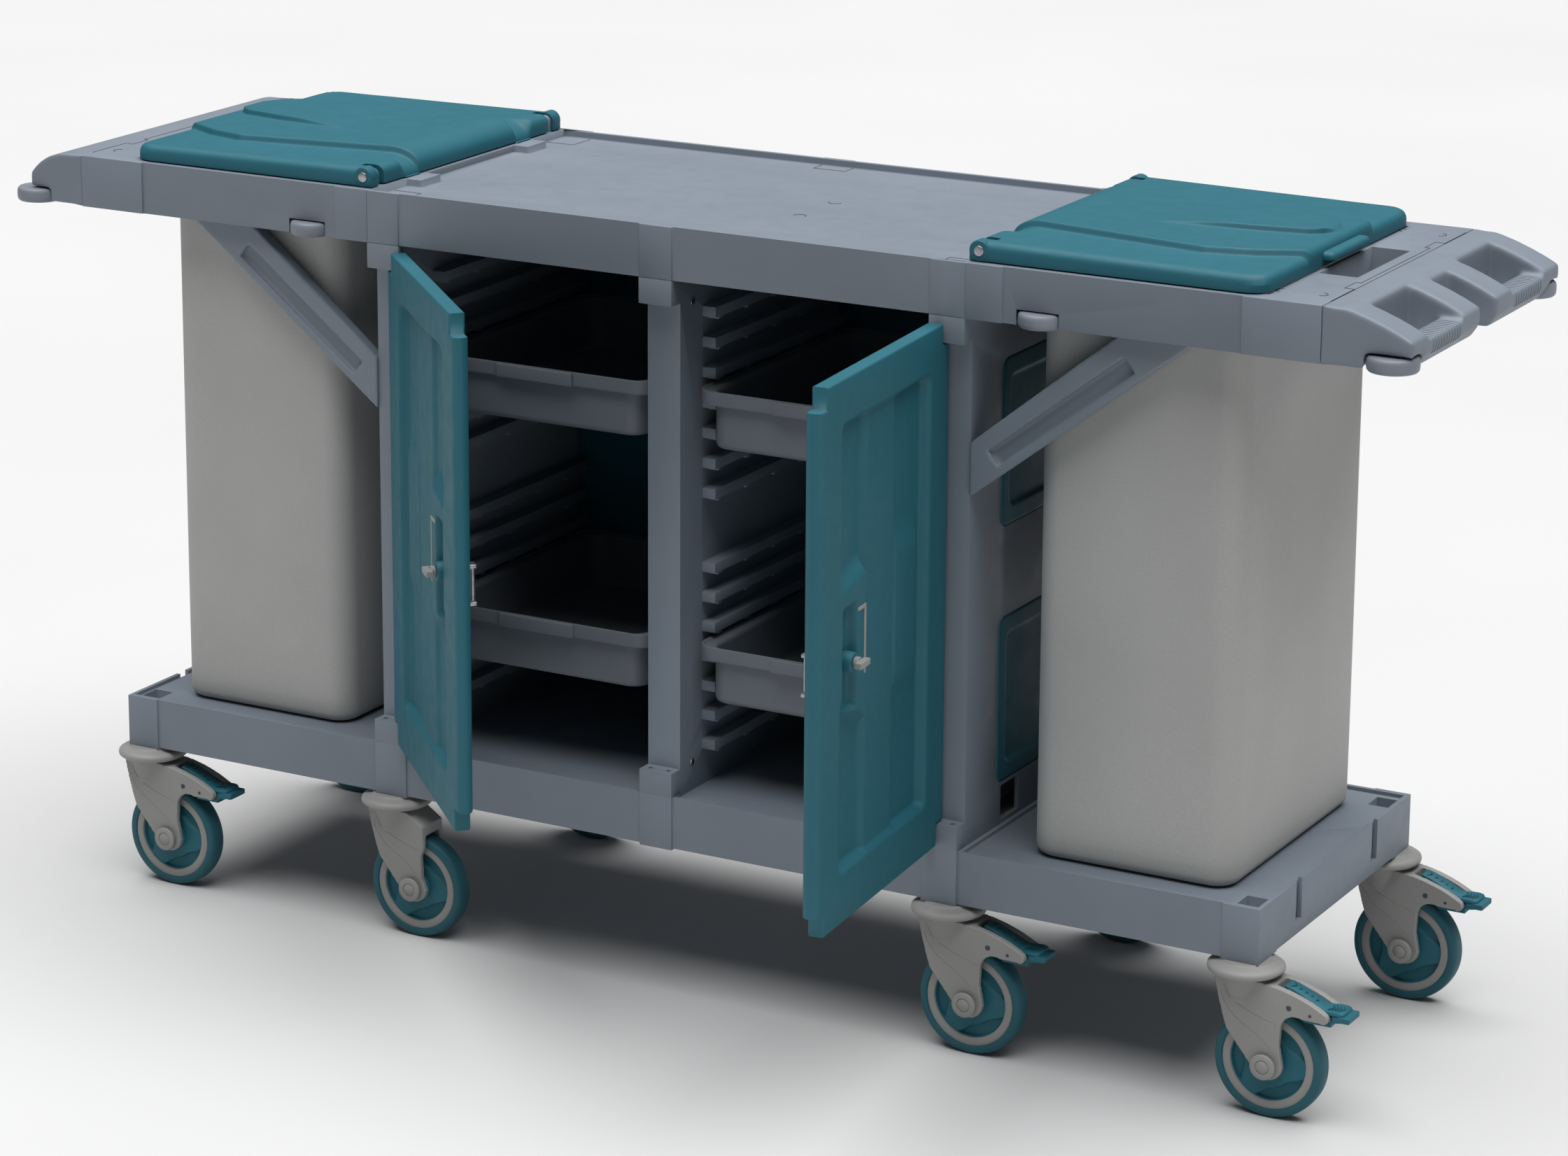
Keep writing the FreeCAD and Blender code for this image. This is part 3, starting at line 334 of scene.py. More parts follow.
def eased(name, node, width_mm, segments=2, merge_flats=True, cuts=()):
    """A CAD copy whose edges have the small radius that a mould gives. Cuts are pairs of
    corners of blocks to take out first."""
    piece = cad_copy(name, node, merge_flats)
    for low, high in cuts:
        cutter = block("cutter", low, high)
        modify(piece, "BOOLEAN", operation="DIFFERENCE", solver="EXACT", object=cutter)
        bake(piece)
        bpy.data.objects.remove(cutter)
    modify(
        piece, "BEVEL", width=width_mm * MM, segments=segments, limit_method="ANGLE",
        angle_limit=math.radians(28), use_clamp_overlap=True, miter_outer="MITER_ARC",
        harden_normals=False,
    )
    modify(piece, "WEIGHTED_NORMAL", keep_sharp=True, weight=60)
    return bake(piece)


def relax(piece, rounds, weight=None, spring=1.04):
    """Round a dense mesh like a river stone. The second, outward step of each round
    springs back, so that it doesn't shrink; with less spring, edges get rounder. The
    weight says how much each point may move."""
    mesh = piece.data
    count = len(mesh.vertices)
    points = np.empty(count * 3)
    mesh.vertices.foreach_get("co", points)
    points = points.reshape(-1, 3)
    ends = np.empty(len(mesh.edges) * 2, dtype=np.int64)
    mesh.edges.foreach_get("vertices", ends)
    ends = ends.reshape(-1, 2)
    degree = np.bincount(ends.ravel(), minlength=count).astype(float)
    free = np.ones(count) if weight is None else weight(points / MM)
    for _ in range(rounds):
        for step in (0.5, -0.5 * spring):
            total = np.zeros_like(points)
            np.add.at(total, ends[:, 0], points[ends[:, 1]])
            np.add.at(total, ends[:, 1], points[ends[:, 0]])
            average = total / degree[:, None]
            points += step * free[:, None] * (average - points)
    mesh.vertices.foreach_set("co", points.ravel())
    mesh.update()
    return piece


def remeshed(piece, voxel_mm):
    """One even skin over everything in the piece."""
    modify(piece, "REMESH", mode="VOXEL", voxel_size=voxel_mm * MM)
    return bake(piece)


def skin_faces(rings, count, last, around=False):
    """Quads between neighbouring rings; around also joins the last ring to the first."""
    faces = []
    for ring in range(rings if around else rings - 1):
        a, b = ring * count, (ring + 1) % rings * count
        for i in range(last):
            j = (i + 1) % count
            faces.append((a + i, a + j, b + j, b + i))
    return faces


def loft(name, loops, caps=(True, True)):
    """A tidy skin through closed loops that have the same number of points."""
    count = len(loops[0])
    points = [point for loop in loops for point in loop]
    faces = skin_faces(len(loops), count, count)
    if caps[0]:
        faces.append(tuple(range(count))[::-1])
    if caps[1]:
        faces.append(tuple(range(len(points) - count, len(points))))
    return tidy(make(name, points, faces))


def rounded_loop(half_x, half_y, radius, steps=8):
    """Points round a rectangle with round corners, centred on zero."""
    radius = max(min(radius, half_x, half_y), 0.01)
    loop = []
    for quarter, (sx, sy) in enumerate(((1, 1), (-1, 1), (-1, -1), (1, -1))):
        for step in range(steps + 1):
            turn = math.radians(90 * quarter + 90 * step / steps)
            x = sx * (half_x - radius) + radius * math.cos(turn)
            y = sy * (half_y - radius) + radius * math.sin(turn)
            loop.append((x, y))
    return loop


def lathe(name, profile, centre, axis="Z", steps=64, closed=True):
    """Turn a profile of (radius, height) pairs about an axis through the centre."""
    points = []
    for k in range(steps):
        turn = 2 * math.pi * k / steps
        c, s = math.cos(turn), math.sin(turn)
        for radius, height in profile:
            if axis == "Z":
                spot = (radius * c, radius * s, height)
            else:
                spot = (radius * c, height, -radius * s)
            points.append(tuple(a + b for a, b in zip(spot, centre)))
    count = len(profile)
    faces = skin_faces(steps, count, count if closed else count - 1, around=True)
    return tidy(make(name, points, faces))


def ease(value, start, width):
    """0 before the start, 1 after start + width, and a smooth slope between."""
    t = min(max((value - start) / width, 0.0), 1.0)
    return t * t * (3 - 2 * t)


def inside(x, y, low_x, high_x, low_y, high_y, radius):
    """How deep a point is inside a rectangle with round corners."""
    qx = abs(x - (low_x + high_x) / 2) - ((high_x - low_x) / 2 - radius)
    qy = abs(y - (low_y + high_y) / 2) - ((high_y - low_y) / 2 - radius)
    outer = math.hypot(max(qx, 0), max(qy, 0))
    return radius - outer - min(max(qx, qy), 0)


def quarter_round(depth, radius):
    """How far a rounded edge has dropped at a depth inside its outline."""
    short = max(radius - max(depth, 0), 0)
    return radius - math.sqrt(max(radius ** 2 - short ** 2, 0))


def round_corner(x, y, high_x, high_y, radius):
    """A point of the plan, moved onto the outline if it lies outside a round corner."""
    cx, cy = high_x - radius, high_y - radius
    dx, dy = x - cx, abs(y) - cy
    length = math.hypot(dx, dy)
    if dx > 0 and dy > 0 and length > radius:
        return cx + dx * radius / length, math.copysign(cy + dy * radius / length, y)
    return x, y


print("helpers ready")

# %% [markdown]
# ## Slate shells
# The base, panels, counter and frames are big hollow mouldings with flat walls. Their CAD
# shapes are right, so each one is a welded copy whose edges get the millimetre or two of
# radius that lets a moulding leave its tool and that catches the light.

# %% Slate shells
SHELLS = {
    "base_tray_left": 2.0, "base_tray_middle": 2.0, "base_tray_right": 2.0,
    "side_panel_left": 1.6, "side_panel_right": 1.6, "middle_panel": 1.6,
    "counter_top": 1.4, "bag_frame_left": 1.8, "bag_frame_right": 1.8,
}


def block(name, low, high):
    """A plain block between two corners."""
    xs, ys, zs = zip(low, high)
    points = [(x, y, z) for x in xs for y in ys for z in zs]
    faces = [(0, 1, 3, 2), (4, 6, 7, 5), (0, 4, 5, 1), (2, 3, 7, 6), (0, 2, 6, 4), (1, 5, 7, 3)]
    return tidy(make(name, points, faces))


LIP_WALL, LIP_TALL = 6, 5


def corner_cuts(node):
    """The tray's floor runs on into its outer corners, below the lip."""
    low, high = (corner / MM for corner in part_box(node))
    end = max(low.x, high.x, key=abs)
    xs = sorted((end - math.copysign(57, end), end - math.copysign(LIP_WALL, end)))
    return [
        ((xs[0], y, high.z - LIP_TALL), (xs[1], y + 56, high.z + 1)) for y in (195, -251)
    ]


for node, width in SHELLS.items():
    cuts = corner_cuts(node) if node in ("base_tray_left", "base_tray_right") else ()
    shell = eased(node + "_shell", node, width, merge_flats=False, cuts=cuts)
    finish(shell, slate, "chassis", node, slot="slate_plastic")

for side in ("left", "right"):
    back = eased("back_panel_%s_sheet" % side, "back_panel_" + side, 0.8)
    finish(back, teal, "chassis", "back_panel_" + side, slot="teal_plastic")
for node, material, voxel, rounds, slot in (
    ("panel_inserts", teal, 2.6, 3, "teal_plastic"),
    ("frame_braces", slate, 2.2, 9, "slate_plastic"),
):
    soft = remeshed(cad_copy(node + "_moulding", node, False), voxel)
    relax(soft, rounds, spring=0.5)
    finish(soft, material, "chassis", node, slot=slot, degrees=60)

# %% [markdown]
# ## The two ends
# The rounded cap and the push handles are shapes for hands and walls, with generous radii
# that a bevel can't give where the openings meet curved faces. An even skin of small faces
# is relaxed instead, like clay smoothed with a wet thumb. The joint to the frame is held
# still, so the seam stays crisp.

# %% End cap and handle module
seam_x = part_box("handle_module")[0].x / MM
for name, node, side, voxel, rounds, fade in (
    ("push_handle_module", "handle_module", 1, 2.2, 26, 16),
    ("rounded_end_cap", "end_cap", -1, 2.4, 14, 14),
):
    end = remeshed(cad_copy(name, node, False), voxel)
    relax(end, rounds, lambda p: np.clip((side * p[:, 0] - seam_x - 4) / fade, 0, 1), spring=0.35)
    finish(end, slate, "chassis", node, slot="slate_plastic", degrees=60)
handles = bpy.data.objects["push_handle_module"]

# %% [markdown]
# ## Lids
# Each lid is a thin, crowned moulding. Its top is drawn as a height over the plan: a low
# band round the edge, a raised platform that widens and then narrows to the pull, and a
# leaf-shaped step that grows out of the platform. The edge is a quarter round that drops to
# a straight skirt, and over the hinge it rolls down much more gently.

# %% Lid surface
LID = {"x0": 457.0, "x1": 862.0, "half": 248.0, "foot": 1076.0, "wall": 3.0}
LID_AXIS = (470.0, 1088.5)


def platform_half(x):
    """Half width of the raised platform at a distance along the cart."""
    return np.interp(x, (457, 740, 800, 862, 900), (130, 161, 143, 108, 96))


def leaf_edges(x):
    """Front and back edge of the leaf-shaped step."""
    front = np.interp(x, (600, 754, 822, 838, 848), (-60, -40, -24, -12, 8))
    back = np.interp(x, (600, 711, 800, 830, 848), (70, 92, 88, 68, 32))
    return front, back


STEP_WIDE, LEAF_WIDE = 7.0, 5.5
EVEN = (-LID["half"], -145.0, -145.0 + STEP_WIDE, -45.0, -45.0 + LEAF_WIDE, 80.0 - LEAF_WIDE, 80.0,
        145.0 - STEP_WIDE, 145.0, LID["half"])


def lid_height(x, y):
    """Height of a lid's top at a point of the plan, before its edges drop away."""
    along = (x - LID["x0"]) / (LID["x1"] - LID["x0"])
    band = 1101.0 - 4.0 * along
    rise = 9.5 - 1.0 * along
    step = ease(platform_half(x) - abs(y), 0, STEP_WIDE)
    top = band + rise * step
    front, back = leaf_edges(x)
    leaf = ease(y - front, 0, LEAF_WIDE) * ease(back - y, 0, LEAF_WIDE) * ease(850 - x, 0, 8)
    return top + 7.5 * leaf * ease(x, 596, 150)


def lid_place(x, y):
    """Bend the grid so that its lines run along the steps, which keeps their edges clean."""
    wide = platform_half(x)
    front, back = leaf_edges(x)
    bent = (-LID["half"], -wide, -wide + STEP_WIDE, front, front + LEAF_WIDE, back - LEAF_WIDE,
            back, wide - STEP_WIDE, wide, LID["half"])
    return lid_plan(x, float(np.interp(y, EVEN, bent)))


def lid_edge(x, y):
    """How far the top has dropped from its height near the edges: 0 at the rim, 1 inside."""
    depth = inside(x, y, LID["x0"], LID["x1"] + 4, -LID["half"], LID["half"], 4.0)
    corner = inside(x, y, LID["x0"] - 60, LID["x1"], -LID["half"], LID["half"], 30.0)
    mix = ease(abs(y), 160, 14)
    roll_wide, roll_tall = 46.0 - 32.0 * mix, 28.0 - 15.0 * mix
    roll = roll_tall * quarter_round((x - LID["x0"]) / roll_wide, 1.0)
    return max(quarter_round(min(depth, corner), 12.0), roll)


def lid_plan(x, y):
    """The lid's outline has round outer corners."""
    return round_corner(x, y, LID["x1"], LID["half"], 30.0)


def grid_lines(low, high, pitch, ends):
    """Even lines from low to high, with closer ones near both ends."""
    close = [low + e for e in ends] + [high - e for e in ends]
    first, last = low + max(ends), high - max(ends)
    count = max(int((last - first) / pitch), 1)
    middle = [first + (last - first) * k / count for k in range(1, count)]
    return sorted(set(round(v, 4) for v in close + middle))


def dome(name, xs, ys, place, height, missing, foot, wall):
    """A skin over a grid, with a skirt down to its foot and a wall thickness."""
    points, faces = [], []
    index = {}
    for i, x in enumerate(xs):
        for j, y in enumerate(ys):
            px, py = place(x, y)
            index[i, j] = len(points)
            points.append((px, py, height(px, py)))
    used = set()
    for i in range(len(xs) - 1):
        for j in range(len(ys) - 1):
            if not missing((xs[i] + xs[i + 1]) / 2, (ys[j] + ys[j + 1]) / 2):
                quad = (index[i, j], index[i + 1, j], index[i + 1, j + 1], index[i, j + 1])
                faces.append(quad)
                used.update(quad)
    piece = tidy(make(name, points, faces), outward=False)
    work = bmesh.new()
    work.from_mesh(piece.data)
    rim = [e for e in work.edges if e.is_boundary]
    skirt = bmesh.ops.extrude_edge_only(work, edges=rim)["geom"]
    for item in skirt:
        if isinstance(item, bmesh.types.BMVert):
            item.co.z = foot * MM
    work.to_mesh(piece.data)
    work.free()
    modify(piece, "SOLIDIFY", thickness=wall * MM, offset=-1.0, use_even_offset=False)
    return bake(piece)


def bar(name, low, high, radius_mm, segments=3):
    """A block with eased edges between two corners."""
    piece = block(name, low, high)
    modify(piece, "BEVEL", width=radius_mm * MM, segments=segments, limit_method="NONE")
    return bake(piece)


# %% Both lids
LUG_GAP = (219.5, 231.0)


def lug_slot(x, y):
    """The openings that the frame's hinge lugs come up through."""
    return LUG_GAP[0] < abs(y) < LUG_GAP[1] and x < 486


def lid_top(x, y):
    """The finished top surface."""
    return lid_height(x, y) - lid_edge(x, y)


lid_xs = grid_lines(LID["x0"], LID["x1"], 3.6, (0, 0.6, 2, 4, 7, 11, 16, 22, 29, 30.2))
lid_ys = grid_lines(-LID["half"], LID["half"], 4.0, (0, 0.6, 2, 4.5, 8, 12, 17.0, 28.5))
for low, high in zip(EVEN[1:8:2], EVEN[2:9:2]):
    if high - low < 10:
        lid_ys = [y for y in lid_ys if not low - 1 < y < high + 1]
        lid_ys += [low + (high - low) * k / 7 for k in range(8)]
lid_ys = sorted(set(lid_ys))
lid_skin = dome(
    "lid_skin", lid_xs, lid_ys, lid_place, lid_top, lug_slot, LID["foot"], LID["wall"]
)
lid_parts = [lid_skin]
KNUCKLE = {"inner": 231.2, "outer": 248.6, "bore": 5.2, "radius": 14.0}
for y_side in (-1, 1):
    y0, y1 = sorted((y_side * KNUCKLE["inner"], y_side * KNUCKLE["outer"]))
    bore, radius = KNUCKLE["bore"], KNUCKLE["radius"]
    profile = [(bore, y0), (radius - 1.2, y0), (radius, y0 + 1.2), (radius, y1 - 1.2),
               (radius - 1.2, y1), (bore, y1)]
    lid_parts.append(lathe("knuckle", profile, (LID_AXIS[0], 0, LID_AXIS[1]), "Y", 48))
    cheek_low = (LID_AXIS[0] - 13.6, y0 + 0.3, 1075.2)
    lid_parts.append(bar("cheek", cheek_low, (LID_AXIS[0] + 14, y1 - 0.3, 1090), 1.0))


PULL_END, PULL_HALF = 877.0, 64.0


def pull_top(x, y):
    """The pull is an awning: flat on top, turned down at its rim."""
    return 1095.0 - quarter_round(inside(x, y, 850, PULL_END, -PULL_HALF, PULL_HALF, 7.0), 7.0)


def pull_plan(x, y):
    """The awning's outline has round outer corners."""
    return round_corner(x, y, PULL_END, PULL_HALF, 7.0)


pull_xs = [PULL_END - back for back in (19, 16, 13, 10, 7, 5.5, 4, 2.5, 1.2, 0.4, 0)]
pull_ys = grid_lines(-PULL_HALF, PULL_HALF, 6, (0, 0.4, 1.2, 2.5, 4, 5.5, 7, 8))
lid_parts.append(dome(
    "pull", pull_xs, pull_ys, pull_plan, pull_top, lambda x, y: False, 1085.5, 2.5
))
right_lid = joined("lid_right_moulding", lid_parts)
left_lid = copied("lid_left_moulding", right_lid, flip=True)
for side, lid in (("right", right_lid), ("left", left_lid)):
    finish(lid, teal, "lid_" + side, "lid_" + side, slot="teal_plastic", degrees=40)

# %% [markdown]
# ## Doors
# A door is one moulding with two skins. Both skins are heights over the same grid of the
# door's face: the outer one has the sunken panel, its upright rib, the angled facet, the
# bulge with the finger pull and the channel for the lock. Where the grid ends, the two
# skins are joined. The long edges are half rounds that turn on the hinge pins.

# %% Door surface
hinge_x, hinge_y = (abs(v) / MM for v in joints["door_right_hinge"]["pos_m"][:2])
HALF_THICK = 11.0
SLAB = {"hinge": hinge_x - 17, "free": 27.0, "low": 287.0, "high": 992.0}
PANEL_EDGE = 404.0
STRIP = {"hinge": hinge_x, "free": 14.0, "low": 318.0, "high": 964.0}
EASE = 3.0


def within(x, z):
    """Distance from a point of the door's face to the nearest edge of the moulding."""
    slab = min(SLAB["hinge"] - x, x - SLAB["free"], SLAB["high"] - z, z - SLAB["low"])
    strip = min(STRIP["high"] - z, z - STRIP["low"])
    return max(slab, strip)


def door_relief(x, z):
    """Depth of the outer skin under the door's face: positive is sunken."""
    s = PANEL_EDGE - x
    field = ease(inside(s, z, 42, 333, 352, 938, 16), 0, 11)
    depth = 13.0 * field
    depth -= 6.5 * field * ease(s, 138, 14) * ease(248 - s, 0, 14)
    facet = ease(s, 54, 22) * ease(146 - s, 0, 8) * ease(z, 520, 46) * ease(764 - z, 0, 46)
    depth -= 6.5 * facet * field
    corner = min(ease(z, 520 + 0.5 * (s - 254), 26), ease(752 - 0.2 * (s - 254) - z, 0, 24))
    bulge = ease(s, 246, 9) * corner * (1 - ease(s, 333, 6))
    depth -= depth * bulge
    channel = ease(s, 278, 9) * ease(326 - s, 0, 8) * ease(z, 556, 12) * ease(700 - z, 0, 12)
    return max(depth, 12.0 * channel * bulge)


def edge_drop(x, z):
    """How far both skins draw in near an edge of the moulding."""
    drop = quarter_round(within(x, z), EASE)
    beyond = max(x - STRIP["hinge"], STRIP["free"] - x)
    if beyond > 0:
        drop = max(drop, quarter_round(HALF_THICK - beyond, HALF_THICK))
    return min(drop, HALF_THICK)


def door_missing(x, z):
    """Parts of the grid that are outside the door."""
    on_strip = x > SLAB["hinge"] or x < SLAB["free"]
    return on_strip and not STRIP["low"] < z < STRIP["high"]


def lines(*values):
    """Sorted grid lines: a number is one line and (low, high, count) is a run."""
    out = set()
    for value in values:
        if isinstance(value, tuple):
            low, high, count = value
            out.update(round(low + (high - low) * k / count, 3) for k in range(count + 1))
        else:
            out.add(float(value))
    return sorted(out)


def two_skins(name, xs, zs, front, back, missing):
    """A closed plate: two skins over one grid, joined wherever the grid ends."""
    points, faces = [], []
    width = len(zs)
    for skin in (front, back):
        for x in xs:
            for z in zs:
                points.append((x, skin(x, z), z))
    offset = len(xs) * width
    edges = {}
    for i in range(len(xs) - 1):
        for j in range(width - 1):
            if missing((xs[i] + xs[i + 1]) / 2, (zs[j] + zs[j + 1]) / 2):
                continue
            quad = [i * width + j, (i + 1) * width + j, (i + 1) * width + j + 1, i * width + j + 1]
            faces.append(tuple(quad))
            faces.append(tuple(v + offset for v in reversed(quad)))
            for a, b in zip(quad, quad[1:] + quad[:1]):
                if (b, a) in edges:
                    del edges[b, a]
                else:
                    edges[a, b] = True
    for a, b in edges:
        faces.append((b, a, a + offset, b + offset))
    return tidy(make(name, points, faces))


edge_steps = (0, 0.35, 0.9, 1.8, 3.0)
round_steps = [HALF_THICK * math.sin(math.radians(a)) for a in (0, 20, 40, 55, 68, 78, 85, 90)]
door_xs = lines(
    *[STRIP["free"] - r for r in round_steps], *[STRIP["hinge"] + r for r in round_steps],
    *[SLAB["free"] + e for e in edge_steps], *[SLAB["hinge"] - e for e in edge_steps],
    (71, 176, 50), (176, 246, 16), (246, 272, 14), (272, 356, 26), (356, 397.5, 12), (30, 71, 8),
)
door_zs = lines(
    *[SLAB["low"] + e for e in edge_steps], *[SLAB["high"] - e for e in edge_steps],
    *[STRIP["low"] + e for e in edge_steps], *[STRIP["high"] - e for e in edge_steps],
    (321, 350, 5), (350, 372, 12), (372, 512, 16), (512, 780, 110), (780, 918, 16),
    (918, 940, 12), (940, 961, 4),
)
door = two_skins(
    "door", door_xs, door_zs,
    lambda x, z: -hinge_y - HALF_THICK + max(door_relief(x, z), edge_drop(x, z)),
    lambda x, z: -hinge_y + HALF_THICK - edge_drop(x, z),
    door_missing,
)

# %% Lock boss and the strip in the finger pull
FACE_Y = -hinge_y - HALF_THICK
boss = lathe("boss", [
    (4.2, 10), (4.2, -3.4), (7.5, -3.4), (7.8, -5), (11, -5), (12.6, -4.2), (13.2, -2.4), (13.6, 10),
], (106.0, FACE_Y, 624.0), "Y", 48)
strip_parts = [
    bar("strip_side", (146.5, FACE_Y - 1.2, 598), (151.5, FACE_Y + 5, 688), 0.9),
    bar("strip_top", (126, FACE_Y - 1.2, 683.5), (151.5, FACE_Y + 5, 688.5), 0.9),
]
grip_strip = joined("grip_strip", strip_parts)


def rest_turn(side):
    """How far that door stands open at rest, from its joint's range."""
    return -joints["door_%s_hinge" % side]["range_deg"][0]


def hung(side):
    """The turn that takes a closed door's piece to where that side's door stands."""
    sign = 1 if side == "right" else -1
    pivot = Vector((sign * hinge_x * MM, -hinge_y * MM, 0))
    turn = Matrix.Rotation(math.radians(sign * rest_turn(side)), 4, "Z")
    return Matrix.Translation(pivot) @ turn @ Matrix.Translation(-pivot)


door_body = joined("door_body", [door, boss])
for side in ("left", "right"):
    flip = side == "left"
    body, knob_body = "door_" + side, "door_knob_" + side
    leaf = copied(body + "_moulding", door_body, hung(side), flip)
    finish(leaf, teal, body, body, slot="teal_plastic", degrees=50)
    strip = copied(body + "_grip_strip", grip_strip, hung(side), flip)
    finish(strip, pale_nylon, body, slot="light_plastic")
    latch = eased(body + "_catch", "door_latch_" + side, 0.7)
    finish(latch, steel, body, "door_latch_" + side, slot="steel")
    knob = relax(remeshed(cad_copy(body + "_wing_knob", knob_body), 0.7), 10)
    finish(knob, pale_nylon, knob_body, knob_body, slot="light_plastic", degrees=80)
for spare in (door_body, grip_strip):
    bpy.data.objects.remove(spare)
print("doors hung at", rest_turn("left"), "and", rest_turn("right"), "degrees")

# %% [markdown]
# ## Trays
# The trays are thin open boxes that hang by a broad rim. A loft suits them: one list of
# rounded rectangles starts under the floor, climbs the outside, turns over the rim and goes
# down again inside, so the wall has its true thickness and every edge its own small radius.

# %% Trays
TRAY = {"x": 215.5, "y": -1.5, "half_x": 162.5, "half_y": 205.5, "top": 845.5, "tall": 81.0}


def tray_rings():
    """(change of the half sizes, corner radius, height under the rim) up, over and down."""
    tall = TRAY["tall"]
    return [
        (-9, 17, tall), (-5, 21, tall - 0.6), (-1.8, 24, tall - 2.6), (-0.4, 25.6, tall - 6),
        (0, 26, tall - 9), (0, 26, 20.5), (6, 27, 19.4), (18.2, 29.2, 19.6),
        (19.6, 30, 18.6), (20, 30, 17), (20, 30, 3), (19.4, 29.5, 1.2), (17.8, 28, 0.1),
        (15.5, 26.6, 0), (14.2, 25.8, 0.9), (12.8, 25, 2.3), (2.4, 26, 2.5), (0.2, 25.2, 2.9),
        (-1.6, 24.4, 4.2), (-2.6, 23.6, 7), (-3, 23, 10), (-3.4, 22.8, tall - 14),
        (-4.4, 21.8, tall - 8), (-7, 19.5, tall - 4.4), (-11, 15.5, tall - 3),
    ]


def tray_shell(name):
    """The upper right tray, open upwards."""
    loops = []
    for grow, radius, down in tray_rings():
        # The rim is broader at the sides than at the ends.
        half_y = TRAY["half_y"] + grow * 0.4 + min(grow, 0) * 0.6
        ring = rounded_loop(TRAY["half_x"] + grow, half_y, radius, 6)
        loops.append([(TRAY["x"] + x, TRAY["y"] + y, TRAY["top"] - down) for x, y in ring])
    return loft(name, loops)


tray = tray_shell("tray_shell")
front_y = TRAY["y"] - TRAY["half_y"] - 8
tab = bar(
    "label_tab", (155, front_y - 6, TRAY["top"] - 19.6), (275, front_y + 2, TRAY["top"] - 0.6), 1.6
)
tray_master = joined("tray_master", [tray, tab])
levels = {"upper": 0.0, "lower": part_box("tray_lower_right")[0].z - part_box("tray_upper_right")[0].z}
for level, rise in levels.items():
    for side in ("left", "right"):
        node = "tray_%s_%s" % (level, side)
        shift = Matrix.Translation((0, 0, rise))
        part = copied(node + "_moulding", tray_master, shift, side == "left")
        finish(part, tray_grey, node, node, slot="slate_plastic", degrees=40)
bpy.data.objects.remove(tray_master)

# %% [markdown]
# ## Bags
# The bags hang from a hoop in the frame and stand on the base. Coated cloth that holds its
# own weight stays nearly flat between its corners, bellies by a few millimetres, and shows
# a soft fold or two. The shell is lofted in close rings, so that each can belly and ripple
# by its height, and a solidify modifier gives the cloth its thickness.

# %% Bags
BAG = {"x": 681.0, "half_x": 143.6, "half_y": 210.6, "foot": 278.0, "top": 1066.0}


def belly(x, y, t):
    """How far the cloth stands out at a point of a ring: flat near hoop and corners."""
    slack = math.sin(math.pi * min(max(t, 0), 1)) ** 0.8
    along_x = max(1 - (x / BAG["half_x"]) ** 2, 0)
    along_y = max(1 - (y / BAG["half_y"]) ** 2, 0)
    fold = noise.noise(Vector((x * 0.011, y * 0.011, t * 1.1)))
    crease = noise.noise(Vector((x * 0.03 + 7, y * 0.03, t * 2.3)))
    return slack * (1.4 * max(along_x, along_y) + 1.5 * fold + 0.7 * crease)


def bag_ring(height, shrink, radius, steps=10, run=16):
    """One ring of the bag, with points along its flats as well as round its corners."""
    t = (height - BAG["foot"]) / (BAG["top"] - BAG["foot"])
    corners = rounded_loop(BAG["half_x"] - shrink, BAG["half_y"] - shrink, radius, steps)
    ring = []
    for k, (x, y) in enumerate(corners):
        ring.append((x, y))
        if k % (steps + 1) == steps:
            nx, ny = corners[(k + 1) % len(corners)]
            ring += [(x + (nx - x) * m / run, y + (ny - y) * m / run) for m in range(1, run)]
    out = []
    for x, y in ring:
        length = math.hypot(x / BAG["half_x"], y / BAG["half_y"])
        out_x, out_y = x / BAG["half_x"] / length, y / BAG["half_y"] / length
        flat_x = abs(x) > BAG["half_x"] - shrink - 1
        flat_y = abs(y) > BAG["half_y"] - shrink - 1
        push = belly(x, y, t)
        if flat_x != flat_y:
            out_x, out_y = flat_x * math.copysign(1, x), flat_y * math.copysign(1, y)
        out.append((BAG["x"] + (x + push * out_x), y + push * out_y, height))
    return out


def bag_shell():
    """The right bag: a rounded foot, tall sides and a folded hem at the hoop."""
    foot, top = BAG["foot"], BAG["top"]
    rings = [(foot, 34, 8), (foot, 16, 20), (foot + 1.2, 9, 26), (foot + 4, 4.2, 30)]
    rings += [(foot + 8.5, 1.2, 32.5), (foot + 14, 0, 34)]
    rings += [(foot + 14 + (top - 40 - foot - 14) * k / 34, 0, 34) for k in range(1, 35)]
    rings += [(top - 22, 0, 34), (top - 20, -1.2, 35), (top - 12, -1.4, 35), (top - 4, -1.2, 35)]
    rings += [(top - 1, -0.4, 34.4), (top, 0.6, 34)]
    loops = [bag_ring(*ring) for ring in rings]
    return loft("bag_shell", loops, (True, False))


bag = bag_shell()
modify(bag, "SOLIDIFY", thickness=2.5 * MM, offset=-1.0)
bake(bag)
for side, turn in (("left", math.pi), ("right", 0)):
    piece = copied("bag_%s_cloth" % side, bag, Matrix.Rotation(turn, 4, "Z"))
    finish(piece, cloth, "chassis", "bag_" + side, slot="bag_fabric", degrees=70)
bpy.data.objects.remove(bag)

# %% [markdown]
# ## Rows of small parts
# Tray stops, grip ribs and the bars of a pedal repeat at an even step. Geometry Nodes set out one
# small piece along a line, and the tree has sockets for the piece, the number and the step,
# so one tree serves them all.

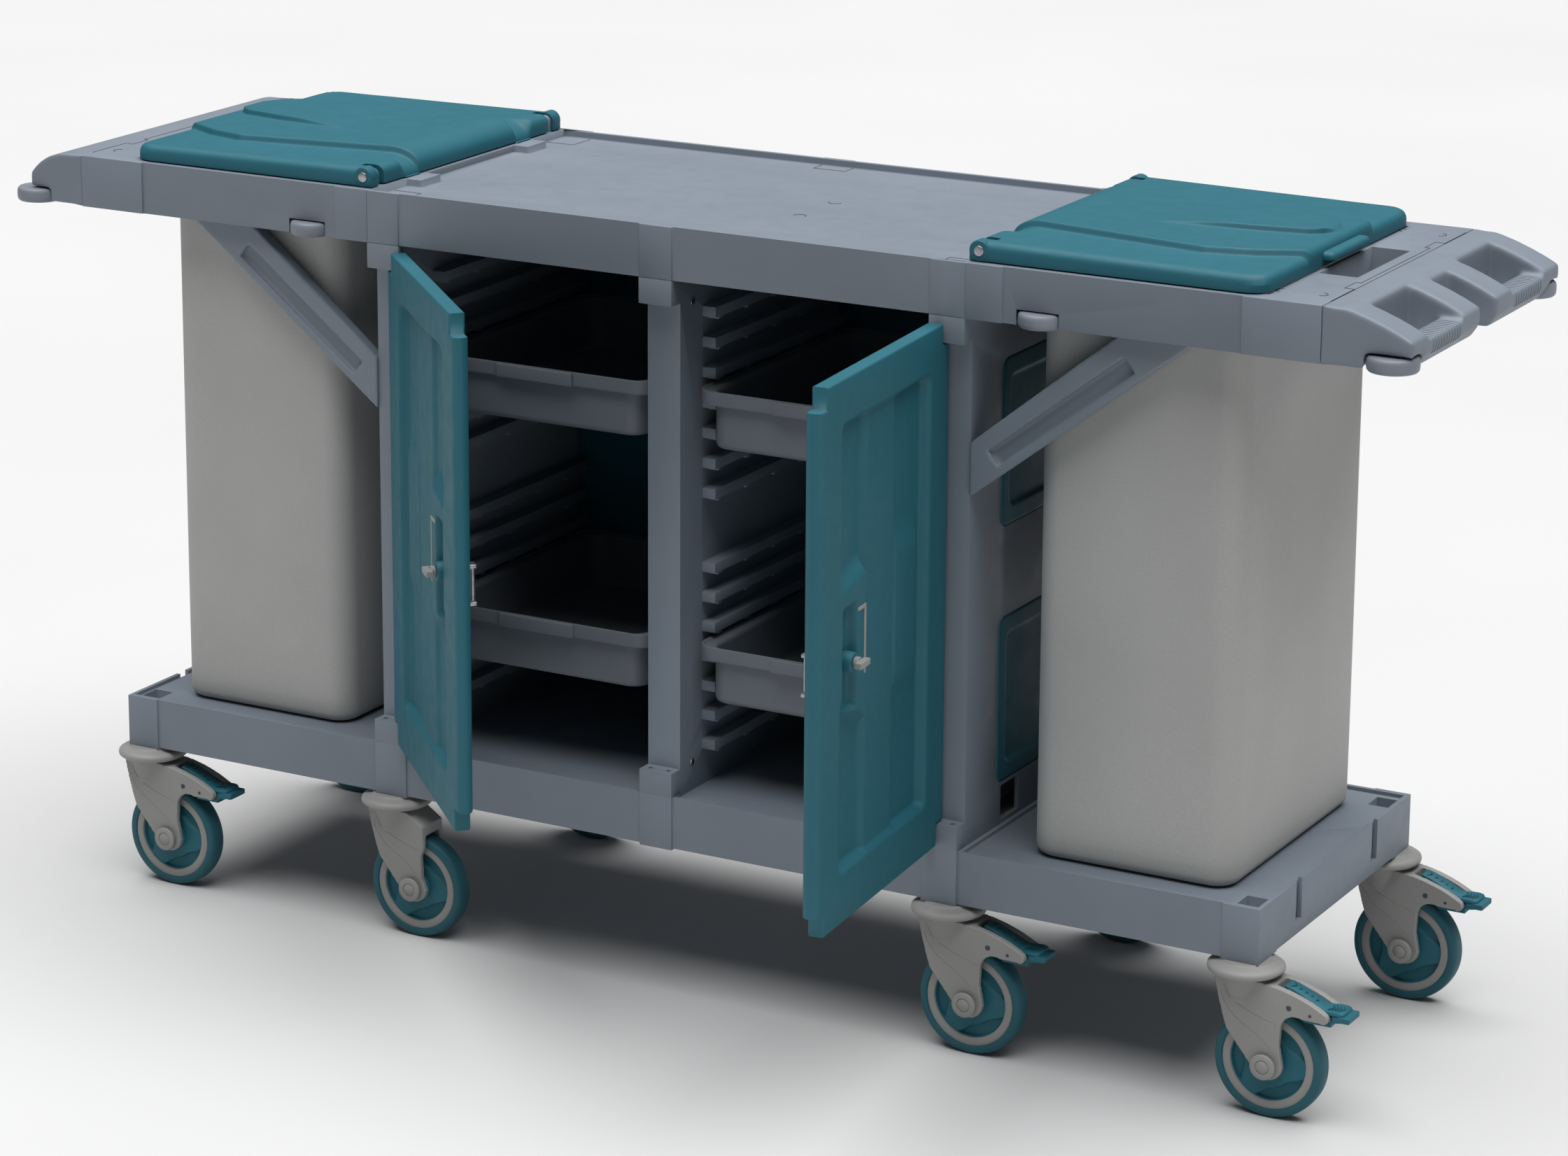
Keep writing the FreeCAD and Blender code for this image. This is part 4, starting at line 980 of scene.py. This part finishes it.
# %% The row tree
def new_tree(name, sockets):
    """An empty geometry tree with named inputs, and its two ends."""
    tree = bpy.data.node_groups.new(name, "GeometryNodeTree")
    face = tree.interface
    face.new_socket("Geometry", in_out="INPUT", socket_type="NodeSocketGeometry")
    for label, kind in sockets:
        face.new_socket(label, in_out="INPUT", socket_type="NodeSocket" + kind)
    face.new_socket("Geometry", in_out="OUTPUT", socket_type="NodeSocketGeometry")
    return tree, add(tree, "NodeGroupInput"), add(tree, "NodeGroupOutput")


def grown(name, tree, values, base=None):
    """Run a tree with these inputs on a mesh or curve and keep the plain mesh."""
    seed = shown(name + "_seed", base or bpy.data.meshes.new(name))
    modifier = seed.modifiers.new("Grow", "NODES")
    modifier.node_group = tree
    for item in tree.interface.items_tree:
        if item.in_out == "INPUT" and item.name in values:
            modifier[item.identifier] = values[item.name]
    graph = bpy.context.evaluated_depsgraph_get()
    mesh = bpy.data.meshes.new_from_object(seed.evaluated_get(graph))
    mesh.name = name
    bpy.data.objects.remove(seed)
    return shown(name, mesh)


def ends_in(tree, shape, entry, leave):
    """The last two nodes of a tree: its instances made real, in the finish."""
    real = add(tree, "GeometryNodeRealizeInstances", {"Geometry": shape})
    dressed = add(
        tree, "GeometryNodeSetMaterial",
        {"Geometry": real.outputs["Geometry"], "Material": entry.outputs["Finish"]},
    )
    tree.links.new(dressed.outputs["Geometry"], leave.inputs["Geometry"])


row_tree, entry, leave = new_tree("row_of_parts", [
    ("Part", "Object"), ("Count", "Int"), ("Start", "Vector"), ("Step", "Vector"),
    ("Finish", "Material"),
])
spots = add(
    row_tree, "GeometryNodeMeshLine",
    {"Count": entry.outputs["Count"], "Start_Location": entry.outputs["Start"],
     "Offset": entry.outputs["Step"]},
)
part_info = add(row_tree, "GeometryNodeObjectInfo", {"Object": entry.outputs["Part"]})
placed = add(
    row_tree, "GeometryNodeInstanceOnPoints",
    {"Points": spots.outputs["Mesh"], "Instance": part_info.outputs["Geometry"]},
)
ends_in(row_tree, placed.outputs["Instances"], entry, leave)


def rows(name, part, material, runs):
    """One piece from several rows; a run is its count, its start and its step in mm."""
    grown_rows = [grown(name + "_row", row_tree, {
        "Part": part, "Count": count, "Start": [v * MM for v in start],
        "Step": [v * MM for v in step], "Finish": material,
    }) for count, start, step in runs]
    bpy.data.objects.remove(part)
    return joined(name, grown_rows)


# %% Tray stops on the rails
# Each rail carries small blocks at an even step that keep a tray in place.
RAIL_PITCH, RAIL_COUNT = 42, 7
rail_heights = [start + step * k for start, step in ((944, -RAIL_PITCH), (336, RAIL_PITCH))
                for k in range(RAIL_COUNT)]
stops = [
    (5, (x, -158, height - 8.4), (0, 78, 0))
    for height in rail_heights for x in (35, -35, 396, -396)
]
tooth = bar("rail_tooth", (-8.5, -7, -3.2), (8.5, 7, 2.0), 1.4, 2)
rail_teeth = rows("tray_rail_teeth", tooth, slate, stops)
finish(rail_teeth, slate, "chassis", slot="slate_plastic")

# %% Ribs on the push bars
BAR_MIDDLE = Vector((1045.0, -145.0, 1018.0))
RIB_COUNT, RIB_STEP, RIB_TALL, RIB_HALF = 11, 9, 1.3, 1.5


def grip_rib(skin):
    """A low hoop over a push bar, in place at zero. Rays towards the middle of the bar
    find its finished skin, so that the hoop follows it."""
    loops = []
    for turn in range(135, -16, -10):
        out = Vector((math.cos(math.radians(turn)), 0, math.sin(math.radians(turn))))
        hit = skin.ray_cast((BAR_MIDDLE + 45 * out) * MM, -out)[0]
        if hit is not None:
            ring = []
            for step in range(6):
                angle = 2 * math.pi * step / 6
                lift = hit / MM + RIB_TALL * math.cos(angle) * out
                ring.append((lift.x, RIB_HALF * math.sin(angle), lift.z))
            loops.append(ring)
    return loft("grip_rib", loops)


handle_skin = BVHTree.FromPolygons(
    [v.co.copy() for v in handles.data.vertices], [tuple(p.vertices) for p in handles.data.polygons]
)
ribs = rows("push_bar_ribs", grip_rib(handle_skin), slate, [
    (RIB_COUNT, (0, first, 0), (0, RIB_STEP, 0)) for first in (-190, 100)
])
finish(ribs, slate, "chassis", slot="slate_plastic", degrees=60)

# %% [markdown]
# ## Engraved lines
# Shallow marks show where the mouldings meet. A curve follows each mark and a small round
# section is swept along it, half sunk in the surface, so it reads as a fine moulded line. Its
# dark grey is painted shade in the groove.

# %% The line tree
line_tree, entry, leave = new_tree("moulded_line", [("Radius", "Float"), ("Finish", "Material")])
section = add(
    line_tree, "GeometryNodeCurvePrimitiveCircle", {"Radius": entry.outputs["Radius"]}, Resolution=6
)
swept = add(
    line_tree, "GeometryNodeCurveToMesh",
    {"Curve": entry.outputs["Geometry"], "Profile_Curve": section.outputs["Curve"]}, Fill_Caps=True,
)
ends_in(line_tree, swept.outputs["Mesh"], entry, leave)
# The dark grey of the lines is painted shade in the grooves.
groove = moulded("slate_shadow_groove", "3c4046", "44484f", 0.62, 2.0, 0.10)


def drawn_lines(name, lines_mm, radius_mm, material):
    """Fine lines along lists of points in millimetres."""
    curve = bpy.data.curves.new(name, "CURVE")
    curve.dimensions = "3D"
    for line in lines_mm:
        spline = curve.splines.new("POLY")
        spline.points.add(len(line) - 1)
        for point, place in zip(spline.points, line):
            point.co = (*[v * MM for v in place], 1)
    return grown(name, line_tree, {"Radius": radius_mm * MM, "Finish": material}, curve)


def arc_line(centre, radius, start, end, height, steps=14):
    """Points on an arc in the plane of a top face."""
    x, y = centre
    turns = [math.radians(start + (end - start) * k / steps) for k in range(steps + 1)]
    return [(x + radius * math.cos(turn), y + radius * math.sin(turn), height) for turn in turns]


# %% Lines on the counter and the frames
counter_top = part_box("counter_top")[1].z / MM
RIM_TALL = 10
surface = counter_top - RIM_TALL
# Corner angles and the two tabs on the counter, and the stepped seams of the end frames.
ANGLE = [(450, 201), (406, 201), (406, 249)]
TAB = [(-25, 252), (-25, 226), (25, 226), (25, 252)]
SEAM = [(936, 0), (936, 118), (929, 118), (929, 155), (942, 155), (942, 232)]
SIGNS = [(-1, -1), (-1, 1), (1, -1), (1, 1)]
marks = [[(sx * x, sy * y, surface) for x, y in ANGLE] for sx, sy in SIGNS]
marks += [[(x, side * y, surface) for x, y in TAB] for side in (-1, 1)]
marks.append(arc_line((114, -71), 9, 0, 180, surface))
marks.append(arc_line((114, 31), 9, 180, 360, surface))
for end in (-1, 1):
    marks += [[(end * x, side * y, counter_top) for x, y in SEAM] for side in (-1, 1)]
    facing = 90 + 90 * end
    for side in (-1, 1):
        for x, y, turn in ((867, 205, facing), (918, 202, facing + 180)):
            marks.append(arc_line((end * x, side * y), 8, turn - 90, turn + 90, counter_top))
finish(drawn_lines("moulded_marks", marks, 0.6, groove), groove, "chassis",
       slot="slate_plastic", degrees=60)

# %% Pockets behind the tool slots
# The slots in the base's end walls open into closed pockets, so no light comes through.
pockets = []
base_end_x, _, base_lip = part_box("base_tray_right")[1] / MM
for side in (-1, 1):
    x0, x1 = sorted((side * (base_end_x - 6.5), side * (base_end_x - 12)))
    for y in (-130, 130):
        pockets.append(bar("pocket", (x0, y - 16, 216), (x1, y + 16, base_lip - 5.4), 0.6, 2))
finish(joined("tool_slot_pockets", pockets), slate, "chassis", slot="slate_plastic")

# %% [markdown]
# ## Rollers, pins and screws
# The bumpers are plain turned discs with a crowned rim. Pins and screws keep their CAD
# bodies, with the domed heads of real rivets and pan screws.

# %% Rollers
roller_nodes = [
    "roller_%s_%s_%s" % (fore, side, end) for end in ("corner", "middle")
    for fore in ("front", "back") for side in ("left", "right")
]
for node in roller_nodes:
    low, high = (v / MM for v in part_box(node))
    radius = (high.x - low.x) / 2
    edge = [(radius - 7, 0), (radius - 2.6, 0.7), (radius - 0.6, 3), (radius, 7)]
    profile = [(0.0, low.z)] + [(r, low.z + z) for r, z in edge]
    profile += [(r, high.z - z) for r, z in reversed(edge)] + [(0.0, high.z)]
    middle = ((low.x + high.x) / 2, (low.y + high.y) / 2, 0)
    disc = lathe(node + "_turned", profile, middle, "Z", 72, closed=False)
    finish(disc, bumper, node, node, slot="grey_rubber", degrees=50)

# %% Pins and screws
for node, width in (("pivot_pins", 1.1), ("panel_screws", 1.2)):
    metal = eased(node + "_plated", node, width, 3)
    finish(metal, steel, "chassis", node, slot="steel")

# %% [markdown]
# ## Casters
# The caster carries the look of the whole cart: a pale nylon fork with two rounded cheeks,
# a domed collar under the base, and a two-part wheel. The fork starts as its CAD solid
# under one even skin that is relaxed until its edges flow, like the moulding's generous
# radii. Wheels and collars are turned on a lathe, and the hub's three scoops are pressed in.

# %% Forks and collars
PLACES = [
    fore + "_" + spot for fore in ("front", "back")
    for spot in ("left", "middle_left", "middle_right", "right")
]
CHEEK = 24.0


def swivel(place):
    """Where a caster's swivel axis meets the floor, in metres."""
    x, y, _ = joints["swivel_" + place]["pos_m"]
    return Vector((x, y, 0))


def braked_fork(place):
    """Whether this caster has a brake."""
    return "brake_" + place in nodes


# Two soft creases sweep across each cheek from the neck towards the back. Their darker
# nylon grey is painted shade in the creases.
CREASES = [
    [(-20, 180), (-17, 170), (-13, 162), (-5, 155), (4, 150), (24, 142), (48, 135), (55, 132)],
    [(-24, 165), (-19, 153), (-12, 143), (-3, 134), (8, 127), (24, 118), (36, 109), (46, 99)],
]
# The darker grey of the crease lines is painted shade.
crease_shade = moulded("pale_nylon_crease_shade", "7b7b79", "828280", 0.56, 1.6, 0.10)


def fork_from(place):
    """A fork of one kind, centred on its swivel axis."""
    body = cad_copy("fork_core", "fork_" + place)
    body.data.transform(Matrix.Translation(-swivel(place)))
    neck = lathe(
        "neck", [(0, 187), (33, 187), (32.5, 182), (30, 172), (27.5, 162), (27, 156), (0, 156)],
        (0, 0, 0), "Z", 48, closed=False,
    )
    core = remeshed(joined("fork_core_whole", [body, neck]), 1.5)
    relax(core, 16, lambda p: np.clip((205 - p[:, 2]) / 12, 0, 1))
    parts = [painted(core, pale_nylon)]
    for side in (-1, 1):
        # The axle cap: a stepped disc with a shallow ring.
        cap = [(0, 3), (12, 3), (15.5, 4.2), (17.2, 7), (17.2, 8.2), (15.8, 9.4), (9.8, 9.6),
               (9.2, 8.4), (8.6, 9.4), (0, 9.8)]
        profile = [(r, side * (CHEEK + out)) for r, out in cap]
        axle_cap = lathe("axle_cap", profile, (39, 0, 75), "Y", 40, closed=False)
        parts.append(painted(axle_cap, pale_nylon))
    if braked_fork(place):
        for x, z, radius in ((70, 159, 3.4), (99, 154, 2.2)):
            for side in (-1, 1):
                pin = [(0, 0), (radius, 0), (radius, 1.8), (0, 1.9)]
                profile = [(r, side * (CHEEK + out)) for r, out in pin]
                pin_end = lathe("pin_end", profile, (x, 0, z), "Y", 24, closed=False)
                # The pin ends are drawn in the same dark grey, as painted shade.
                parts.append(painted(pin_end, groove))
    for crease in CREASES:
        for side in (-1, 1):
            line = [(x, side * (CHEEK + 1.2), z) for x, z in crease]
            parts.append(drawn_lines("crease", [line], 0.55, crease_shade))
    return joined("fork_master", parts)


fork_kinds = {}
for place in PLACES:
    braked = braked_fork(place)
    if braked not in fork_kinds:
        fork_kinds[braked] = fork_from(place)
    node = "fork_" + place
    piece = copied(node + "_moulding", fork_kinds[braked], Matrix.Translation(swivel(place)))
    finish(piece, None, node, node, slot="light_plastic", degrees=60)
for master in fork_kinds.values():
    bpy.data.objects.remove(master)

COLLAR = [
    (8.4, 190.2), (40, 190.2), (47, 191), (49.8, 193.2), (50.4, 196), (49.6, 199), (46, 201.6),
    (41, 203), (36, 204), (33, 205.5), (32, 207), (8.4, 207),
]
collars = [lathe("collar", COLLAR, swivel(place) / MM, "Z", 72) for place in PLACES]
collar_set = joined("caster_collars_turned", collars)
finish(collar_set, pale_nylon, "chassis", "caster_collars", slot="light_plastic", degrees=40)

# %% Wheels
def hub_relief(radius, turn):
    """Half thickness of the hub disc: three crescent scoops between narrow spokes."""
    spoke = 0.5 + 0.5 * math.cos(3 * (turn - math.radians(4)))
    brink = 33 + 17 * min(spoke * 1.12, 1) ** 2.4
    scoop = ease(radius, brink, 3.6) * ease(51.5 - radius, 0, 2.5)
    boss = 1 - ease(radius, 17, 4)
    return 10.5 - 5.0 * scoop + 4.5 * boss


def hub(name):
    """The hub disc, both faces, about the Y axis."""
    radii = [6.2, 10, 14, 17, 18.3, 19.6, 21, 25, 29] + [31 + 1.15 * k for k in range(16)]
    radii += [49.2, 50, 50.8, 51.5, 52]
    steps = 144
    loops = []
    for k in range(steps):
        turn = 2 * math.pi * k / steps
        face = [(r, hub_relief(r, turn)) for r in radii]
        ring = face + [(r, -t) for r, t in reversed(face)]
        loops.append([(r * math.cos(turn), t, -r * math.sin(turn)) for r, t in ring])
    return loft(name, loops + [loops[0]], (False, False))


def turned_ring(name, half, material):
    """A ring about the Y axis from one half of its section, mirrored."""
    profile = [(r, -out) for r, out in half] + list(reversed(half))
    return painted(lathe(name, profile, (0, 0, 0), "Y", 96), material)


wheel = joined("wheel_master", [
    turned_ring("tyre", [
        (62.5, 12.5), (63.5, 14.4), (66, 15), (70.4, 14.6), (73.2, 12.6), (74.6, 9), (75, 4.5),
    ], tread_rubber),
    turned_ring("ring", [
        (51.5, 11.5), (52.5, 13), (54.5, 13.4), (61, 13.4), (62.8, 12.6), (63, 11),
    ], pale_nylon),
    painted(hub("hub"), teal),
])
for place in PLACES:
    node = "wheel_" + place
    piece = copied(node + "_turned", wheel, Matrix.Translation(joints["axle_" + place]["pos_m"]))
    finish(piece, None, node, node, slot="teal_rubber", degrees=40)
bpy.data.objects.remove(wheel)

# %% Brake pedals
def pedal_pad():
    """The tread of the pedal: inlaid in the fork's beak, then wider under the toe."""
    path = [
        (58, 183, 11.6), (60, 183.6, 12.4), (71, 180.4, 12.6), (82, 175.6, 12.6), (93, 170.4, 12.6),
        (103, 165.2, 12.8), (110, 162.0, 13.4), (117, 161.0, 17.0), (124, 161.4, 18.2),
        (132, 161.6, 18.2), (138, 161.0, 16.6), (140.5, 159.6, 14.6),
    ]
    return loft("pedal_pad", [[
        (x, -half, z - 4), (x, -half, z - 1.0), (x, -half + 0.8, z), (x, half - 0.8, z),
        (x, half, z - 1.0), (x, half, z - 4),
    ] for x, z, half in path])


def chevron():
    """A raised V, one grip bar of the pedal."""
    points, faces = [], []
    for z in (-0.8, 0.7):
        outline = [(-4.2, -9), (0.6, 0), (-4.2, 9), (-2.4, 9), (2.4, 0), (-2.4, -9)]
        points += [(x, y, z) for x, y in outline]
    for a, b, c, d in ((0, 1, 4, 5), (1, 2, 3, 4)):
        faces += [(a + 6, b + 6, c + 6, d + 6), (d, c, b, a)]
    for a in range(6):
        b = (a + 1) % 6
        faces.append((a, b, b + 6, a + 6))
    return tidy(make("chevron", points, faces))


# The bars of the tread are a darker teal: painted shade.
teal_shade = moulded("teal_polypropylene_bar_shade", "174a56", "1a4e5a", 0.55, 1.8, 0.10)
grip_bars = rows("grip_bars", chevron(), teal_shade, [
    (5, (68, 0, 181.8), (7.6, 0, -3.6)), (4, (121, 0, 161.5), (4.6, 0, 0.0)),
])
pad_master = joined("pad_master", [painted(pedal_pad(), teal), grip_bars])
for node in ["brake_" + place for place in PLACES if braked_fork(place)]:
    tread = copied("tread", pad_master, Matrix.Translation(swivel(node[len("brake_"):])))
    lever = relax(remeshed(cad_copy("lever", node, False), 1.2), 8)
    pedal = joined(node + "_pedal", [painted(lever, teal), tread])
    finish(pedal, None, node, node, slot="teal_plastic", degrees=50)
bpy.data.objects.remove(pad_master)

# %% [markdown]
# ## Studio
# The floor is a plain pale sheet. The light comes from one broad source overhead, as under
# a cloth tent, so tops are light, fronts are about a third as bright and shadows have no
# edge. The camera stands at the front right, a little above the counter.

# %% Floor, light and camera
floor = make(
    "studio_floor", [(-9000, -9000, 0), (9000, -9000, 0), (9000, 16000, 0), (-9000, 16000, 0)],
    [(0, 1, 2, 3)],
)
floor_paint, tree, shader, place = new_material("matt_white_studio_floor")
cloud = add(tree, "ShaderNodeTexNoise", {"Vector": place}, Scale=0.6, Detail=2.0)
colour = two_tones(tree, cloud.outputs["Fac"], "c8c8c8", "cbcbcb")
tree.links.new(colour, shader.inputs["Base Color"])
shader.inputs["Roughness"].default_value = 0.9
shader.inputs["Specular IOR Level"].default_value = 0.1
floor.data.materials.append(floor_paint)

world = bpy.data.worlds.new("studio_air")
world.use_nodes = True
air = world.node_tree.nodes["Background"].inputs
air["Color"].default_value = linear("ffffff")
air["Strength"].default_value = 0.10
bpy.context.scene.world = world


tent = bpy.data.lights.new("overhead_tent", "SUN")
tent.energy = 4.7
tent.angle = math.radians(72)
lamp = shown("overhead_tent", tent)
lamp.location = (0.3, -0.1, 6.0)
lamp.rotation_euler = (-lamp.location).to_track_quat("-Z", "Y").to_euler()

AZIMUTH, ELEVATION = math.radians(30.127), math.radians(14.142)
camera = bpy.data.cameras.new("front_right")
camera.lens = 106.32
camera.sensor_width = 36.0
camera.shift_x = 0.0730
camera.shift_y = -0.1151
camera.clip_end = 60.0
view = shown("front_right", camera)
forward = Vector((
    -math.sin(AZIMUTH) * math.cos(ELEVATION),
    math.cos(AZIMUTH) * math.cos(ELEVATION),
    -math.sin(ELEVATION),
))
view.location = (3.0157, -5.4181, 2.3452)
view.rotation_euler = forward.to_track_quat("-Z", "Y").to_euler()
bpy.context.scene.camera = view
bpy.context.scene.view_settings.view_transform = "Standard"
